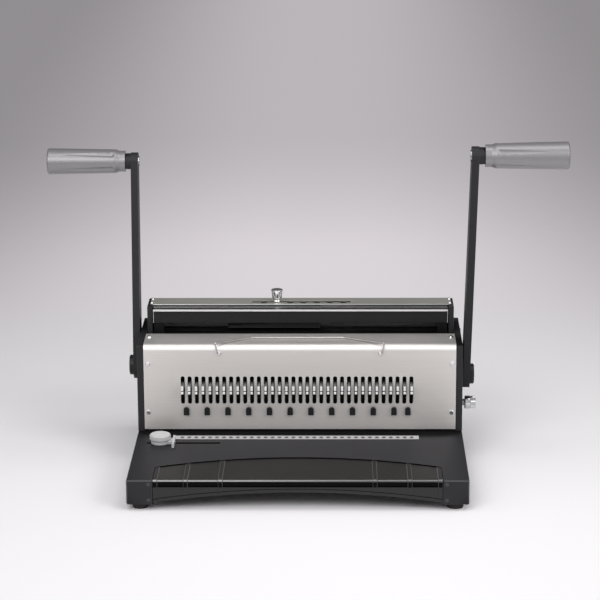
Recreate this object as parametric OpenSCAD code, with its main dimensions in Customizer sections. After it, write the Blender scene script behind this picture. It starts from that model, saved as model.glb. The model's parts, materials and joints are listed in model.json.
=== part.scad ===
// Desk machine that punches a row of square holes along a sheet's edge and closes a twin wire
// binding through them. The punch lever is on the right, the wire closing lever on the left.
// Millimetres. +Z is up, the front faces -Y, and the origin is on the floor under the base's middle.

/* [Base] */
// Width of the base
base_w = 397.6; // [392:0.2:430]
// Depth of the base from front to back
base_d = 320; // [316:1:360]
// Height of the base without its feet
base_h = 29.3; // [28:0.1:40]
// Thickness of the base's steel sheet
base_t = 2; // [1.2:0.1:2.5]
// Depth of the table in front of the panel
table_d = 184; // [178:1:190]
// Thickness of the plate that closes the base from below
plate_t = 1.5; // [1:0.1:2]
// Diameter of a rubber foot
foot_d = 19; // [14:0.5:22]
// Height of a rubber foot below the base
foot_h = 8; // [5:0.5:14]
// Distance of a foot's centre from the base's edges
foot_inset = 15.6; // [13:0.1:18]
// Diameter of a foot's stem in the plate
foot_stem_d = 8; // [5:0.5:10]

/* [Chip drawer] */
// Width of the drawer's front moulding
drawer_w = 335.6; // [330:0.2:340]
// How far the moulding reaches back at its middle
drawer_reach = 83; // [78:1:90]
// How far the moulding reaches back at its ends
drawer_end_reach = 48; // [42:1:56]
// Corner radius of the moulding's back ends
drawer_corner_r = 8; // [3:0.5:12]
// Wall thickness of the moulding
drawer_t = 2.5; // [2:0.1:3]
// Radius along the moulding's front top edge
nose_r = 2; // [1:0.2:4]
// Height of the sunk band below the nose
band_h = 6.1; // [4:0.1:8]
// How far the band is sunk into the moulding
band_d = 2; // [1:0.1:3]
// Height of the moulding's lower edge above the base's bottom, at the ends
arch_end = 1.6; // [0.5:0.1:4]
// Height of the moulding's lower edge above the base's bottom, in the middle
arch_mid = 14; // [8:0.2:16]
// Width of a raised rib on the moulding
rib_w = 5; // [2:0.2:8]
// How far a rib stands out of the moulding
rib_h = 0.6; // [0.2:0.1:1.2]
// Distance of the inner ribs from the middle
rib_inner_x = 89.6; // [70:0.2:100]
// Distance of the outer ribs from the middle
rib_outer_x = 130; // [120:0.2:140]
// Width of the chip tray
tray_w = 310; // [306:1:314]
// Wall thickness of the chip tray
tray_t = 2; // [1.2:0.1:3]
// Distance of the chip tray's front wall behind the base's front
tray_setback = 66; // [62:1:72]
// Width of the tab that joins the tray to the moulding
tray_tab_w = 150; // [80:1:160]
// Width of a drawer runner
runner_w = 6; // [4:0.5:8]
// Height of a drawer runner
runner_h = 9; // [6:0.5:12]

/* [Side frames] */
// Thickness of a side frame
side_t = 8; // [7:0.5:9]
// Height of a side frame above the table
side_h = 108.7; // [106:0.1:120]
// Depth of a side frame
side_d = 130; // [128:1:134]
// Diameter of a tie bar between the side frames
tie_d = 12; // [10:0.5:14]
// Diameter of the screws that hold the tie bars
tie_screw_d = 5; // [4:0.5:6]
// Diameter of the bolts that hold the side frames to the table
frame_bolt_d = 4; // [3:0.5:4]

/* [Front panel] */
// Thickness of the stainless panel
panel_t = 1.5; // [1:0.1:2]
// Height of the paper slot between the table and the panel
panel_gap = 2.6; // [1.6:0.1:3]
// How far the panel's top stands above the side frames
panel_rise = 1.5; // [1.5:0.1:3]
// Depth of the panel's top
panel_top_d = 50; // [46:1:52]
// Outer radius of the panel's bend
panel_bend_r = 8; // [3:0.5:9]
// Height of the flange behind the panel's top
panel_flange = 12; // [6:1:18]
// Diameter of a panel screw's shank
panel_screw_d = 3; // [2.5:0.1:4]
// Diameter of a panel screw's head
panel_screw_head = 6; // [5:0.2:7]
// Height of the lower panel screws above the table
panel_screw_low = 24; // [14:1:40]
// Height of the upper panel screws above the table
panel_screw_high = 86; // [70:1:95]
// Distance of the panel screws from the panel's side edges
panel_screw_inset = 5; // [4.2:0.1:5.6]
// Distance of the top screws behind the panel's front
panel_screw_back = 33; // [24:1:34]

/* [Hole row] */
// Most holes in the row, fewer on a narrow base
hole_count = 34; // [20:1:34]
// Distance between hole centres, three to the inch
hole_pitch = 8.4667; // [8:0.0001:8.6]
// Offset of the row from the middle
row_shift = -3.4; // [-6:0.1:3]
// Width of a slot in the panel
slot_w = 4.9; // [4.4:0.1:5.4]
// Length of a slot in the panel
slot_h = 35.1; // [34:0.1:38]
// Height of the slots' middle above the table
slot_mid = 52.6; // [51:0.1:56]
// Width of a pull pin
pin_w = 3; // [2:0.1:3.4]
// Height of a pull pin
pin_h = 10; // [7:0.1:10.4]
// How far a pull pin stands out of the panel
pin_out = 14; // [9:0.5:18]
// How far the pins stand above the slots' middle
pin_lift = 3.6; // [0:0.1:4]
// Width of a wire hook
hook_w = 6.8; // [6:0.1:8]
// Height of a wire hook
hook_h = 10.4; // [9:0.1:12]
// Thickness of a wire hook
hook_t = 1.4; // [1:0.1:2]
// Gap behind a wire hook
hook_gap = 3.2; // [2:0.1:3.8]
// Height of a hook's lower end above the table
hook_low = 21.6; // [16:0.1:22]

/* [Punch] */
// Side of a square punch
punch_s = 4; // [3:0.1:4.4]
// Distance of the punch row behind the panel's front
punch_back = 14; // [13:0.5:16]
// Height of the paper gap between the die and the punch guide
throat_h = 3; // [2.4:0.1:4]
// Thickness of the die
die_t = 8; // [6:0.5:9]
// Gap between an end of the die and a ram guide
die_gap = 2; // [1:0.1:4]
// How far the die reaches in front of the punch row
die_front = 10; // [8:0.5:10]
// How far the die reaches behind the punch row
die_back = 20; // [18:0.5:22]
// Height of the punch guide
guide_h = 19.7; // [14:0.1:22]
// How far the punch guide reaches behind the punch row
guide_back = 16; // [10:0.5:16]
// Length of a spacer that sets the paper gap
spacer_l = 16; // [14:0.5:18]
// Diameter of a die bolt
die_bolt_d = 5; // [3:0.5:6]
// Height of the ram
ram_h = 20; // [16:0.5:22]
// Thickness of the ram
ram_t = 16; // [13:0.5:17]
// Distance of the ram behind the panel's front
ram_back = 6; // [5:0.5:7]
// Height of a punch's cutting end above the paper gap
punch_lift = 0.7; // [0.3:0.1:1.5]
// Depth of a punch's socket in the ram
socket_depth = 8; // [5:0.5:10]
// Thickness of the block that guides each end of the ram
ram_guide_t = 16.8; // [16:0.2:17.4]
// How far the ram runs into its guide
ram_guide_grip = 6.5; // [3:0.5:7]

/* [Levers] */
// Height of both lever shafts above the floor
shaft_z = 97; // [95:0.5:100]
// Distance of the punch shaft behind the panel's front
punch_shaft_back = 46.6; // [46.2:0.1:48]
// Distance of the closing shaft behind the panel's front
closing_shaft_back = 86; // [85:0.5:88]
// Diameter of the punch shaft
punch_shaft_d = 14; // [11:0.5:15]
// Diameter of the closing shaft
closing_shaft_d = 10; // [8:0.5:11]
// Wall thickness of a shaft's bush
bush_wall = 3; // [2:0.1:4]
// Thickness of a bush's flange, which keeps the lever off the frame
bush_flange = 1.5; // [1:0.1:4]
// Width of a bush's flange around its body
bush_rim = 3; // [1.5:0.1:4]
// Thickness of a lever
lever_t = 8.7; // [6:0.1:9]
// Radius of a lever's lower end
lever_low_r = 17; // [14:0.5:18]
// Radius of a lever's upper end
lever_top_r = 11; // [10:0.2:13]
// Length of the punch lever
punch_lever_l = 336.8; // [300:0.5:350]
// Forward lean of the punch lever
punch_lean = 25.3; // [15:0.1:30]
// Length of the closing lever
closing_lever_l = 257; // [240:0.5:300]
// Forward lean of the closing lever, below zero when it leans back
closing_lean = -5.1; // [-6:0.1:10]
// Diameter of the cap over a lever's hub
cap_d = 25; // [20:0.5:30]
// Thickness of the cap over a lever's hub
cap_t = 5.5; // [3:0.1:7]

/* [Grips] */
// Diameter of the boss at a lever's top
boss_d = 20; // [17:0.5:20]
// How far the boss stands out of the lever
boss_out = 5; // [2:0.1:6]
// Diameter of the collar beside a grip
collar_d = 19.5; // [18:0.5:23]
// Thickness of the collar beside a grip
collar_t = 1.8; // [1:0.1:5]
// Diameter of a grip's axle
axle_d = 10; // [7:0.5:11]
// Length of a grip
grip_l = 96.4; // [90:0.2:110]
// Diameter of a grip's neck
grip_neck_d = 24.7; // [22:0.1:26]
// Length of a grip's neck
grip_neck_l = 11.5; // [10:0.5:20]
// Diameter of a grip behind its neck
grip_small_d = 29.2; // [27:0.2:30]
// Diameter of a grip's outer end
grip_big_d = 31.4; // [30:0.2:34]
// Rounding of a grip's outer end
grip_round = 1.6; // [0.5:0.1:3]
// Number of flutes round a grip
flute_count = 5; // [4:1:8]
// Radius of a flute
flute_r = 5; // [3:0.2:6]
// Depth of a flute at the neck
flute_depth = 2; // [0.8:0.1:2.4]
// Length of a flute
flute_l = 68; // [50:1:72]

/* [Racks and pinions] */
// Module of the punch pinions
punch_module = 1.5; // [1.4:0.01:1.55]
// Teeth of a punch pinion
punch_teeth = 16; // [16:1:16]
// Module of the closing pinions
closing_module = 1; // [0.95:0.01:1.05]
// Teeth of a closing pinion
closing_teeth = 16; // [16:1:16]
// Module of the depth stop's pinions
depth_module = 1; // [0.95:0.01:1.05]
// Teeth of a depth pinion
depth_teeth = 12; // [12:1:12]
// Play between the teeth of a rack and its pinion
backlash = 0.36; // [0.3:0.02:0.5]
// Thickness of the racks
rack_t = 12; // [8:0.5:12]
// Width of the pinions
pinion_w = 14; // [10:0.5:16]
// Middle of a punch rack from a ram guide
punch_rack_in = 24; // [22:0.1:26]

/* [Wire closer] */
// Height of the anvil's top above the table
anvil_high = 105.7; // [102:0.1:106]
// Thickness of the anvil
anvil_t = 12; // [8:0.5:14]
// Distance of the anvil's front behind the panel's front
anvil_back = 54; // [53:0.5:56]
// Depth of the anvil
anvil_d = 38; // [34:0.5:40]
// Open height between the anvil and the press bar
closer_gap = 13.5; // [13:0.1:18]
// Height of the press bar
press_h = 15.5; // [10:0.1:16]
// Depth of the press bar
press_d = 15; // [13:0.5:15.2]
// Distance of the press bar's face behind the panel's front
press_back = 66; // [65:0.5:67]
// Thickness of the polished plate on the press bar
press_plate_t = 2.5; // [1.5:0.1:3]
// How far the polished plate stands out in front of the press bar
press_lip = 2; // [0:0.1:4]
// Thickness of a closer bracket
bracket_t = 6.5; // [5:0.1:7]
// Distance of a bracket's front behind the panel's front
bracket_back = 70; // [69:0.5:74]
// Depth of a bracket
bracket_d = 41.4; // [38:0.2:42]
// Thickness of the closer's top cover
cover_t = 1.5; // [1:0.1:2]
// Depth of the closer's top cover
cover_d = 31; // [30:0.2:32]
// Width of a bracket's lip beside the cover
cover_lip = 2.3; // [1.5:0.1:3]
// Height of the cover's underside above the polished plate
cover_gap = 0.5; // [0.4:0.1:2]
// Diameter of a cover screw's shank
cover_screw_d = 3; // [2:0.1:3.4]
// Thickness of the sheet that closes the back
rear_t = 1.5; // [1:0.1:2]

/* [Wire size selector] */
// Number of notches for the wire sizes
notch_count = 7; // [4:1:7]
// Distance between notches
notch_pitch = 16.5; // [14:0.1:17]
// Offset of the notches' middle from the machine's middle
notch_shift = 3.5; // [-8:0.1:8]
// Notch that the knob stands in, counted from the left
notch_now = 2; // [2:1:4]
// Diameter of the knob's stem
stem_d = 5; // [3:0.1:6]
// Diameter of a notch
notch_d = 8; // [7:0.1:9]
// How far a notch reaches forward of the slot's middle
notch_reach = 3; // [1:0.1:4]
// How far the slot runs on to the left of the first notch
slot_left = 15; // [8:0.5:20]
// How far the slot runs on to the right of the last notch
slot_right = 9.5; // [8:0.5:20]
// Distance of the slot's middle behind the cover's front
slot_back = 12; // [9:0.1:13]
// Diameter of the knob's cap
knob_cap_d = 14.6; // [12:0.1:16]
// Diameter of the knob's neck
knob_neck_d = 8.4; // [7:0.1:11.5]
// Diameter of the knob's foot
knob_foot_d = 12.4; // [10:0.1:13]
// Height of the knob's foot
knob_foot_h = 3; // [2:0.1:5]
// Height of the knob's neck
knob_neck_h = 5; // [4:0.1:8]
// Height of the knob's cap
knob_cap_h = 7.9; // [6:0.1:12]
// Difference in height between two steps of the stop
step_drop = 1.1; // [0.5:0.1:1.2]
// Depth of the stop's steps
step_d = 8; // [5:0.5:8]
// Thickness of the stop's back
stop_t = 6; // [4:0.5:7]
// Width of the press bar's finger over the steps
finger_w = 8; // [5:0.5:12]
// How far the finger reaches over the steps
finger_l = 7; // [4:0.5:7]
// Thickness of the finger
finger_t = 4; // [3:0.5:5]
// Travel of the press bar that the steps leave free
press_travel = 11.2; // [11.2:0.1:11.5]

/* [Wire bail] */
// Diameter of the bail's wire
wire_d = 2; // [1.4:0.1:2.4]
// Half width between the bail's feet
bail_foot_x = 100.8; // [90:0.1:110]
// Half width at the bail's shoulders
bail_shoulder_x = 103.1; // [102:0.1:112]
// Half width of the bail's straight bar
bail_bar_x = 56; // [50:0.1:70]
// Offset of the bail's bar from the middle
bail_shift = -2.1; // [-6:0.1:6]
// Radius of the wire's bends
bend_r = 1.6; // [1.3:0.1:1.7]
// How much thinner the wire is where it is bent
bend_thin = 0.12; // [0.08:0.02:0.2]
// Degrees by which a bend runs on into the straight lengths
bend_lap = 6; // [4:1:8]
// Height of the bail's pivot below the panel's top
bail_drop = 9.8; // [9:0.1:12]
// Height of the bail's shoulders above the panel's top
bail_lift = 3; // [2:0.1:4]
// Distance of the bail's bar behind the panel's front
bail_reach = 28; // [20:0.5:40]
// Distance of the bail's pivot in front of the panel
bail_stand = 2.4; // [2:0.1:3]
// Distance of a bail clip from the middle of the bail's leg
clip_gap = 1.6; // [1.5:0.1:2]
// Length of a bail clip
clip_l = 2.6; // [2:0.1:7]
// Height of a bail clip
clip_h = 4.6; // [4:0.1:6]

/* [Margin guide] */
// Distance of the guide's slot in front of the panel
guide_slot_front = 47; // [44:0.5:50]
// Start of the margin slot from the left edge of the base
guide_slot_in = 13.8; // [12:0.1:16]
// Length of the margin slot
guide_slot_l = 89; // [70:1:100]
// Width of the guide's slot
guide_slot_w = 5.6; // [5:0.1:8]
// Clamp knob from the left edge of the base
margin_in = 30.4; // [24:0.1:40]
// Diameter of the guide's stud
stud_d = 5; // [3:0.1:5]
// Side of the stud's square head under the table
stud_head = 14; // [10:0.5:16]
// Thickness of the stud's head
stud_head_t = 4; // [2:0.1:5]
// Diameter of the guide's knob
margin_knob_d = 25.7; // [20:0.1:28]
// Height of the guide's knob
margin_knob_h = 7.4; // [6:0.1:14]
// Thickness of the guide's foot
fence_foot_t = 4.2; // [2:0.1:5]
// Diameter of the guide's foot
fence_foot_d = 22.6; // [18:0.1:25]
// Thickness of the guide's fence
fence_t = 3; // [1.4:0.1:4]
// Height of the guide's fence
fence_h = 6; // [4:0.1:12]
// Length of the guide's fence
fence_l = 33; // [30:0.5:50]
// Distance of the fence from the knob's centre
fence_x = 15; // [14.5:0.1:18]
// Distance of the fence's front end in front of the knob's centre
fence_front = 21; // [14:0.5:22]
// Left end of the ruler from the left edge of the base
ruler_in = 46.8; // [45.8:0.1:50.8]
// Length of the ruler, the long side of a standard sheet
ruler_l = 297; // [280:0.5:300]
// Depth of the ruler
ruler_d = 13.2; // [8:0.1:16]
// Thickness of the ruler
ruler_t = 0.6; // [0.4:0.1:0.8]
// How far the ruler stands out of the table
ruler_proud = 0.1; // [0:0.05:0.15]
// Distance of the ruler's back edge in front of the panel
ruler_front = 18.6; // [14:0.1:20]

/* [Margin depth] */
// Distance of the depth spindle behind the panel's front
depth_back = 44; // [43:0.5:46]
// Height of the depth spindle above the floor
depth_z = 60.8; // [60:0.1:62]
// Diameter of the depth spindle
depth_shaft_d = 8; // [6:0.5:8.5]
// Diameter of the depth knob's flange
depth_knob_d = 16.3; // [12:0.1:18]
// Length of the depth knob's flange
depth_flange_l = 7.4; // [5:0.1:12]
// Diameter of the depth knob's turned end
depth_end_d = 15.2; // [10:0.1:16]
// Length of the depth knob's turned end
depth_end_l = 6.3; // [4:0.1:10]
// Distance of the depth knob from the side frame
depth_stand = 4.8; // [1.5:0.1:6]
// Distance of the stop's edge behind the punch row
stop_back = 7; // [6.8:0.1:8]
// Gap between an end of the depth stop and a spacer
stop_gap = 6; // [4:0.1:8]
// Middle of a stop rack from the end of the depth stop
stop_rack_in = 30; // [20:0.5:40]
// Length of a stop rack
stop_rack_l = 20; // [20:0.5:26]
// Thickness of a stop rack's bar
stop_rack_h = 5; // [4:0.1:6]
// Thickness of the stop's upright arm
stop_arm_t = 4; // [3:0.1:5]
// Travel of the stop each way
stop_travel = 4.3; // [4.3:0.1:4.6]

/* [Clearances] */
// Radial clearance of a shaft in its bush
run = 0.06; // [0.03:0.01:0.09]
// Gap beside a piece that slides
slide = 0.3; // [0.2:0.05:0.4]
// Gap round the drawer's moulding
seam = 0.8; // [0.3:0.05:1]
// Gap round a punch in its guide and die
punch_play = 0.1; // [0.05:0.01:0.15]
// Gap round a pin or punch in the ram
socket_play = 0.05; // [0.02:0.01:0.1]

/* [Hidden] */
$fn = 48;
// Steps of a curve in a side view or plan, overshoot of a cut, and size of a small broken edge
arc_steps = 12;
cut = 1;
edge = 1;
// Tooth shape, as parts of the module
pressure_angle = 20;
pinion_addendum = 0.9;
rack_addendum = 0.65;
rack_dedendum = 1.25;
pinion_dedendum = 1;

base_z = foot_h;
table_z = base_z + base_h;
under_z = table_z - base_t;
plate_z = base_z + plate_t;
front_y = -base_d / 2;
back_y = base_d / 2;
base_x = base_w / 2;
wall_x = base_x - base_t;
panel_y = front_y + table_d;
side_in = base_x - side_t;
side_top = table_z + side_h;
side_back = panel_y + side_d;

moulding_y = front_y + rib_h;
moulding_in = moulding_y + band_d + drawer_t;
band_z = table_z - nose_r - band_h;
drawer_x = drawer_w / 2;
drawer_mid_y = front_y + drawer_reach;
drawer_sag = drawer_reach - drawer_end_reach;
drawer_r = (drawer_x * drawer_x + drawer_sag * drawer_sag) / (2 * drawer_sag);
arch_sag = arch_mid - arch_end;
arch_r = (drawer_x * drawer_x + arch_sag * arch_sag) / (2 * arch_sag);
tray_x = tray_w / 2;
tray_y = front_y + tray_setback;
tray_z = plate_z + slide;

punch_y = panel_y + punch_back;
die_half = base_x - side_t - ram_guide_t - die_gap;
row_end = 5;
row_half = die_half - spacer_l - row_end - abs(row_shift);
holes = min(hole_count, floor(2 * row_half / hole_pitch) + 1);
row_x = row_shift - (holes - 1) * hole_pitch / 2;
die_y0 = punch_y - die_front;
die_y1 = punch_y + die_back;
die_z = table_z - die_t;
ledge_grip = 4;
tray_drop = 2;
tray_past = 8;
tray_top = die_z - base_t - tray_drop;
tray_back = die_y1 + tray_past;
guide_z = table_z + throat_h;
guide_y1 = punch_y + guide_back;
die_bolt_x = die_half - spacer_l / 2;
die_bolt_inset = 8;
die_bolt_ys = [die_y0 + die_bolt_inset, guide_y1 - die_bolt_inset / 2];
bolt_head_t = 4;
bolt_head = 1.5;

panel_z = table_z + panel_gap;
panel_top = side_top + panel_rise;
panel_x = side_in - slide / 2;
panel_back = panel_y + panel_top_d;
panel_inner = panel_y + panel_t;
slot_z = table_z + slot_mid;
pin_z = slot_z + pin_lift;
ram_y = panel_y + ram_back;
ram_z = slot_z - ram_h / 2;
ram_rack_h = 38;
pin_pocket = 5;
pin_groove = 1;
pin_groove_low = 1.3;
ram_guide_x = side_in - ram_guide_t;
ram_x = ram_guide_x + ram_guide_grip;
punch_rack_x = ram_guide_x - punch_rack_in;

punch_shaft_y = panel_y + punch_shaft_back;
ram_guide_back = punch_shaft_y - punch_shaft_d / 2 - edge;
closing_shaft_y = panel_y + closing_shaft_back;
punch_pitch_r = punch_module * punch_teeth / 2;
closing_pitch_r = closing_module * closing_teeth / 2;
depth_pitch_r = depth_module * depth_teeth / 2;
lever_x0 = base_x + bush_flange + slide;
lever_x1 = lever_x0 + lever_t;
boss_x1 = lever_x1 + boss_out;
collar_x1 = boss_x1 + collar_t;
grip_x0 = collar_x1 + slide;
grip_end = 9;
axle_l = grip_l - grip_end;
axle_head_d = axle_d + 3;
axle_head_t = 1.5;
punch_flute_turn = 243;
closing_flute_turn = 227;

anvil_z1 = table_z + anvil_high;
anvil_z0 = anvil_z1 - anvil_t;
anvil_y0 = panel_y + anvil_back;
anvil_y1 = anvil_y0 + anvil_d;
press_y = panel_y + press_back;
press_z = anvil_z1 + closer_gap;
press_top = press_z + press_h;
plate_top = press_top + press_plate_t;
bracket_x1 = side_in - slide;
bracket_x0 = bracket_x1 - bracket_t;
press_x = bracket_x0 - edge;
bracket_y0 = panel_y + bracket_back;
bracket_y1 = bracket_y0 + bracket_d;
cover_z = plate_top + cover_gap;
cover_top = cover_z + cover_t;
cover_y = press_y + press_d + edge;
cover_x = bracket_x1 - cover_lip - slide;
press_rack_x1 = press_x - edge;
press_rack_x0 = press_rack_x1 - rack_t;
press_pitch_y = closing_shaft_y - closing_pitch_r;
press_rack_y0 = press_y + press_lip;
press_rack_low = 11;
press_rack_high = 19;
anvil_groove_d = 24;
anvil_groove = 1.5;
press_rack_y1 = press_pitch_y - rack_dedendum * closing_module;
cover_screw_x = (bracket_x0 + cover_x) / 2;
cover_screw_inset = 6.5;
cover_screw_ys = [cover_y + cover_screw_inset, cover_y + cover_d - cover_screw_inset];
screw_grip = 6;
screw_dome = 1.6;
cross_w = 0.7;
rear_y = cover_y + cover_d - rear_t;
corner_screw_d = 3.6;
corner_screw_in = 5;
foot_edge = 1.5;
knob_top_t = 2.4;

selector_y = cover_y + slot_back;
notch_x0 = notch_shift - (notch_count - 1) * notch_pitch / 2;
selector_x = notch_x0 + (notch_now - 1) * notch_pitch;
stop_y0 = press_y + press_d + press_plate_t;
finger_z = press_top - edge - finger_t;
step_top = finger_z - press_travel - slide;
stop_low = step_top - (notch_count + 2) * step_drop;
finger_x = 0;
knob_cap_z = knob_foot_h + knob_neck_h;

bail_y = panel_y - bail_stand;
bail_z = panel_top - bail_drop;
bail_path = [
  [bail_foot_x - clip_gap - clip_l - edge, bail_y, bail_z],
  [bail_foot_x, bail_y, bail_z],
  [bail_shoulder_x, bail_y, panel_top + bail_lift],
  [bail_bar_x, panel_y + bail_reach, panel_top + wire_d / 2 + slide],
];

margin_y = panel_y - guide_slot_front;
margin_x = margin_in - base_x;
guide_slot_x0 = guide_slot_in - base_x;
fence_z = table_z + ruler_proud + slide;
margin_knob_z = fence_z + fence_foot_t;
ruler_x0 = ruler_in - base_x;
ruler_y1 = panel_y - ruler_front;

depth_y = panel_y + depth_back;
depth_knob_x = base_x + depth_stand;
stop_edge_y = punch_y + stop_back;
stop_half = die_half - spacer_l - stop_gap;
stop_rack_x = stop_half - stop_rack_in;
stop_z0 = table_z + slide / 2;
stop_z1 = guide_z - slide;
stop_arm_y = guide_y1 + stop_travel + slide;
stop_rack_z = depth_z - depth_pitch_r - rack_dedendum * depth_module - stop_rack_h;

tie_inset = 14;
tie_y = side_back - tie_inset;
tie_zs = [table_z + 1.5 * tie_inset, side_top - tie_inset];
tie_screw_l = 12;
frame_bolt_inset = 8;
frame_bolt_ys = [panel_y + frame_bolt_inset, (panel_y + side_back) / 2, side_back - frame_bolt_inset];
frame_bolt_l = 14;
frame_bolt_x = wall_x - slide - bolt_head * frame_bolt_d / 2;
screw_head_t = 2.4;

// A block between two corners
module block(x, y, z)
  translate([x[0], y[0], z[0]]) cube([x[1] - x[0], y[1] - y[0], z[1] - z[0]]);

// Round rods along each axis
module rod_x(d, x, y, z) translate([x[0], y, z]) rotate([0, 90, 0]) cylinder(d = d, h = x[1] - x[0]);
module rod_y(d, x, y, z) translate([x, y[0], z]) rotate([-90, 0, 0]) cylinder(d = d, h = y[1] - y[0]);
module rod_z(d, x, y, z) translate([x, y, z[0]]) cylinder(d = d, h = z[1] - z[0]);

// A side view drawn in Y and Z, drawn out along X
module along_x(x) translate([x[0], 0, 0]) rotate([90, 0, 90]) linear_extrude(x[1] - x[0]) children();

// A piece on the right and its mirror image on the left
module both_sides() {
  children();
  mirror([1, 0, 0]) children();
}

// Two ends at a distance each way from a middle, or at two distances from a start
function about(middle, half) = [middle - half, middle + half];
function span(start, a, b) = [start + a, start + b];
function arc(c, r, a0, a1, n = arc_steps) =
  [for (i = [0:n]) let (a = a0 + (a1 - a0) * i / n) c + r * [cos(a), sin(a)]];
function hole_x(i) = row_x + i * hole_pitch;
function involute(a) = tan(a) * 180 / PI - a;

// Outline of a pinion with one tooth along -X
function pinion_outline(m, teeth, steps = 5) =
  let (
    r = m * teeth / 2,
    base_r = r * cos(pressure_angle),
    tip_r = r + pinion_addendum * m,
    root_r = r - pinion_dedendum * m,
    half = 90 / teeth - backlash / 4 / r * 180 / PI + involute(pressure_angle),
    low_r = max(base_r, root_r)
  )
  [for (k = [0:teeth - 1], side = [-1, 1], j = [0:steps])
    let (
      step = side < 0 ? j : steps - j,
      reach = low_r + (tip_r - low_r) * max(step - 1, 0) / (steps - 1),
      out = step == 0 ? root_r : reach,
      a = 180 + 360 * k / teeth + side * (half - involute(acos(base_r / reach)))
    )
    out * [cos(a), sin(a)]];

// Outline of a rack along its second axis, with teeth towards its first axis and a gap at centre
function rack_outline(m, pitch_line, centre, span, back) =
  let (
    p = PI * m,
    flat = p / 4 - backlash / 4,
    tip = pitch_line + rack_addendum * m,
    root = pitch_line - rack_dedendum * m,
    tip_half = flat - rack_addendum * m * tan(pressure_angle),
    root_half = flat + rack_dedendum * m * tan(pressure_angle),
    first = ceil((span[0] + root_half - centre) / p - 0.5),
    last = floor((span[1] - root_half - centre) / p - 0.5)
  )
  concat(
    [[back, span[0]], [root, span[0]]],
    [for (k = [first:last], q = [[root, -root_half], [tip, -tip_half], [tip, tip_half], [root, root_half]])
      [q[0], centre + (k + 0.5) * p + q[1]]],
    [[root, span[1]], [back, span[1]]]
  );

module pinion(m, teeth, bore, x, y, z)
  along_x(x) translate([y, z]) difference() {
    polygon(pinion_outline(m, teeth));
    circle(d = bore);
  }

// Plan of the drawer's moulding, with its curved back edge, grown by a gap and drawn out to the front
module drawer_plan(gap, y0) {
  hx = drawer_x + gap;
  r = drawer_r + gap;
  cy = drawer_mid_y - drawer_r;
  corner = drawer_corner_r + gap;
  corner_x = hx - corner;
  corner_y = cy + sqrt(pow(r - corner, 2) - pow(corner_x, 2));
  turn = atan2(corner_y - cy, corner_x);
  polygon(concat(
    [[-hx, y0], [hx, y0]],
    arc([corner_x, corner_y], corner, 0, turn),
    arc([0, cy], r, turn, 180 - turn, 2 * arc_steps),
    arc([-corner_x, corner_y], corner, 180 - turn, 180)
  ));
}

// Side view of the moulding's front wall and top skin, with its sunk band or grown into a rib
module moulding_section(grow, band = 0)
  polygon(concat(
    [[moulding_in, base_z - cut], [moulding_y - grow, base_z - cut]],
    band == 0 ? [] : [
      [moulding_y, band_z - band / 2], [moulding_y + band, band_z], [moulding_y + band, table_z - nose_r]
    ],
    arc([moulding_y + nose_r, table_z - nose_r], nose_r + grow, 180, 90),
    [[drawer_mid_y + cut, table_z + grow], [drawer_mid_y + cut, table_z - drawer_t],
     [moulding_in, table_z - drawer_t]]
  ));

// Folded channels under the table that carry the die
module die_ledges()
  for (side = [-1, 1]) {
    edge = side < 0 ? die_y0 - slide : die_y1 + slide;
    web = edge + side * base_t;
    lip = edge - side * ledge_grip;
    block([-die_half, die_half], [min(edge, web), max(edge, web)], [die_z - base_t, table_z - base_t / 2]);
    block([-die_half, die_half], [min(web, lip), max(web, lip)], [die_z - base_t, die_z]);
  }

module base_shell() color("#2c2c2f") difference() {
  union() {
    difference() {
      block([-base_x, base_x], [front_y, back_y], [base_z, table_z]);
      block([-wall_x, wall_x], [front_y + base_t, back_y - base_t], [base_z - cut, under_z]);
    }
    die_ledges();
  }
  translate([0, 0, base_z - cut]) linear_extrude(base_h + 2 * cut) drawer_plan(seam, front_y - cut);
  block([-die_half - slide, die_half + slide], [die_y0 - slide, die_y1 + slide], [die_z, table_z + cut]);
  block(span(guide_slot_x0, 0, guide_slot_l), about(margin_y, guide_slot_w / 2),
    [under_z - cut, table_z + cut]);
  block([ruler_x0, ruler_x0 + ruler_l], [ruler_y1 - ruler_d, ruler_y1],
    [table_z - ruler_t + ruler_proud, table_z + cut]);
  corner_screw_places() rod_y(corner_screw_d, 0, [front_y - cut, front_y + base_t + cut], 0);
  frame_bolt_places() rod_z(frame_bolt_d, 0, 0, [under_z - cut, table_z + cut]);
}

module corner_screw_places()
  for (side = [-1, 1], z = [base_z + corner_screw_in, table_z - corner_screw_in])
    translate([side * (drawer_x + corner_screw_in), 0, z]) children();

module corner_screws() color("#1a1a1b")
  corner_screw_places() rod_y(corner_screw_d, 0, [front_y, front_y + base_t + corner_screw_in], 0);

module foot_places()
  for (sx = [-1, 1], sy = [-1, 1])
    translate([sx * (base_x - foot_inset), sy * (base_d / 2 - foot_inset), 0]) children();

module base_plate() color("#3a3a3d") difference() {
  block([-wall_x, wall_x], [front_y + base_t, back_y - base_t], [base_z, plate_z]);
  block([-drawer_x - seam, drawer_x + seam], [front_y, tray_y - ledge_grip], [base_z - cut, plate_z + cut]);
  foot_places() rod_z(foot_stem_d, 0, 0, [base_z - cut, plate_z + cut]);
}

module rubber_feet() color("#161617")
  foot_places() {
    cylinder(d1 = foot_d - foot_edge, d2 = foot_d, h = foot_edge);
    rod_z(foot_d, 0, 0, [foot_edge, foot_h]);
    rod_z(foot_stem_d, 0, 0, [foot_h, plate_z + foot_edge]);
  }

module drawer_runners() color("#8d8f92") both_sides()
  block([tray_x + slide, tray_x + slide + runner_w], [tray_y, tray_back], [plate_z, plate_z + runner_h]);

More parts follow.
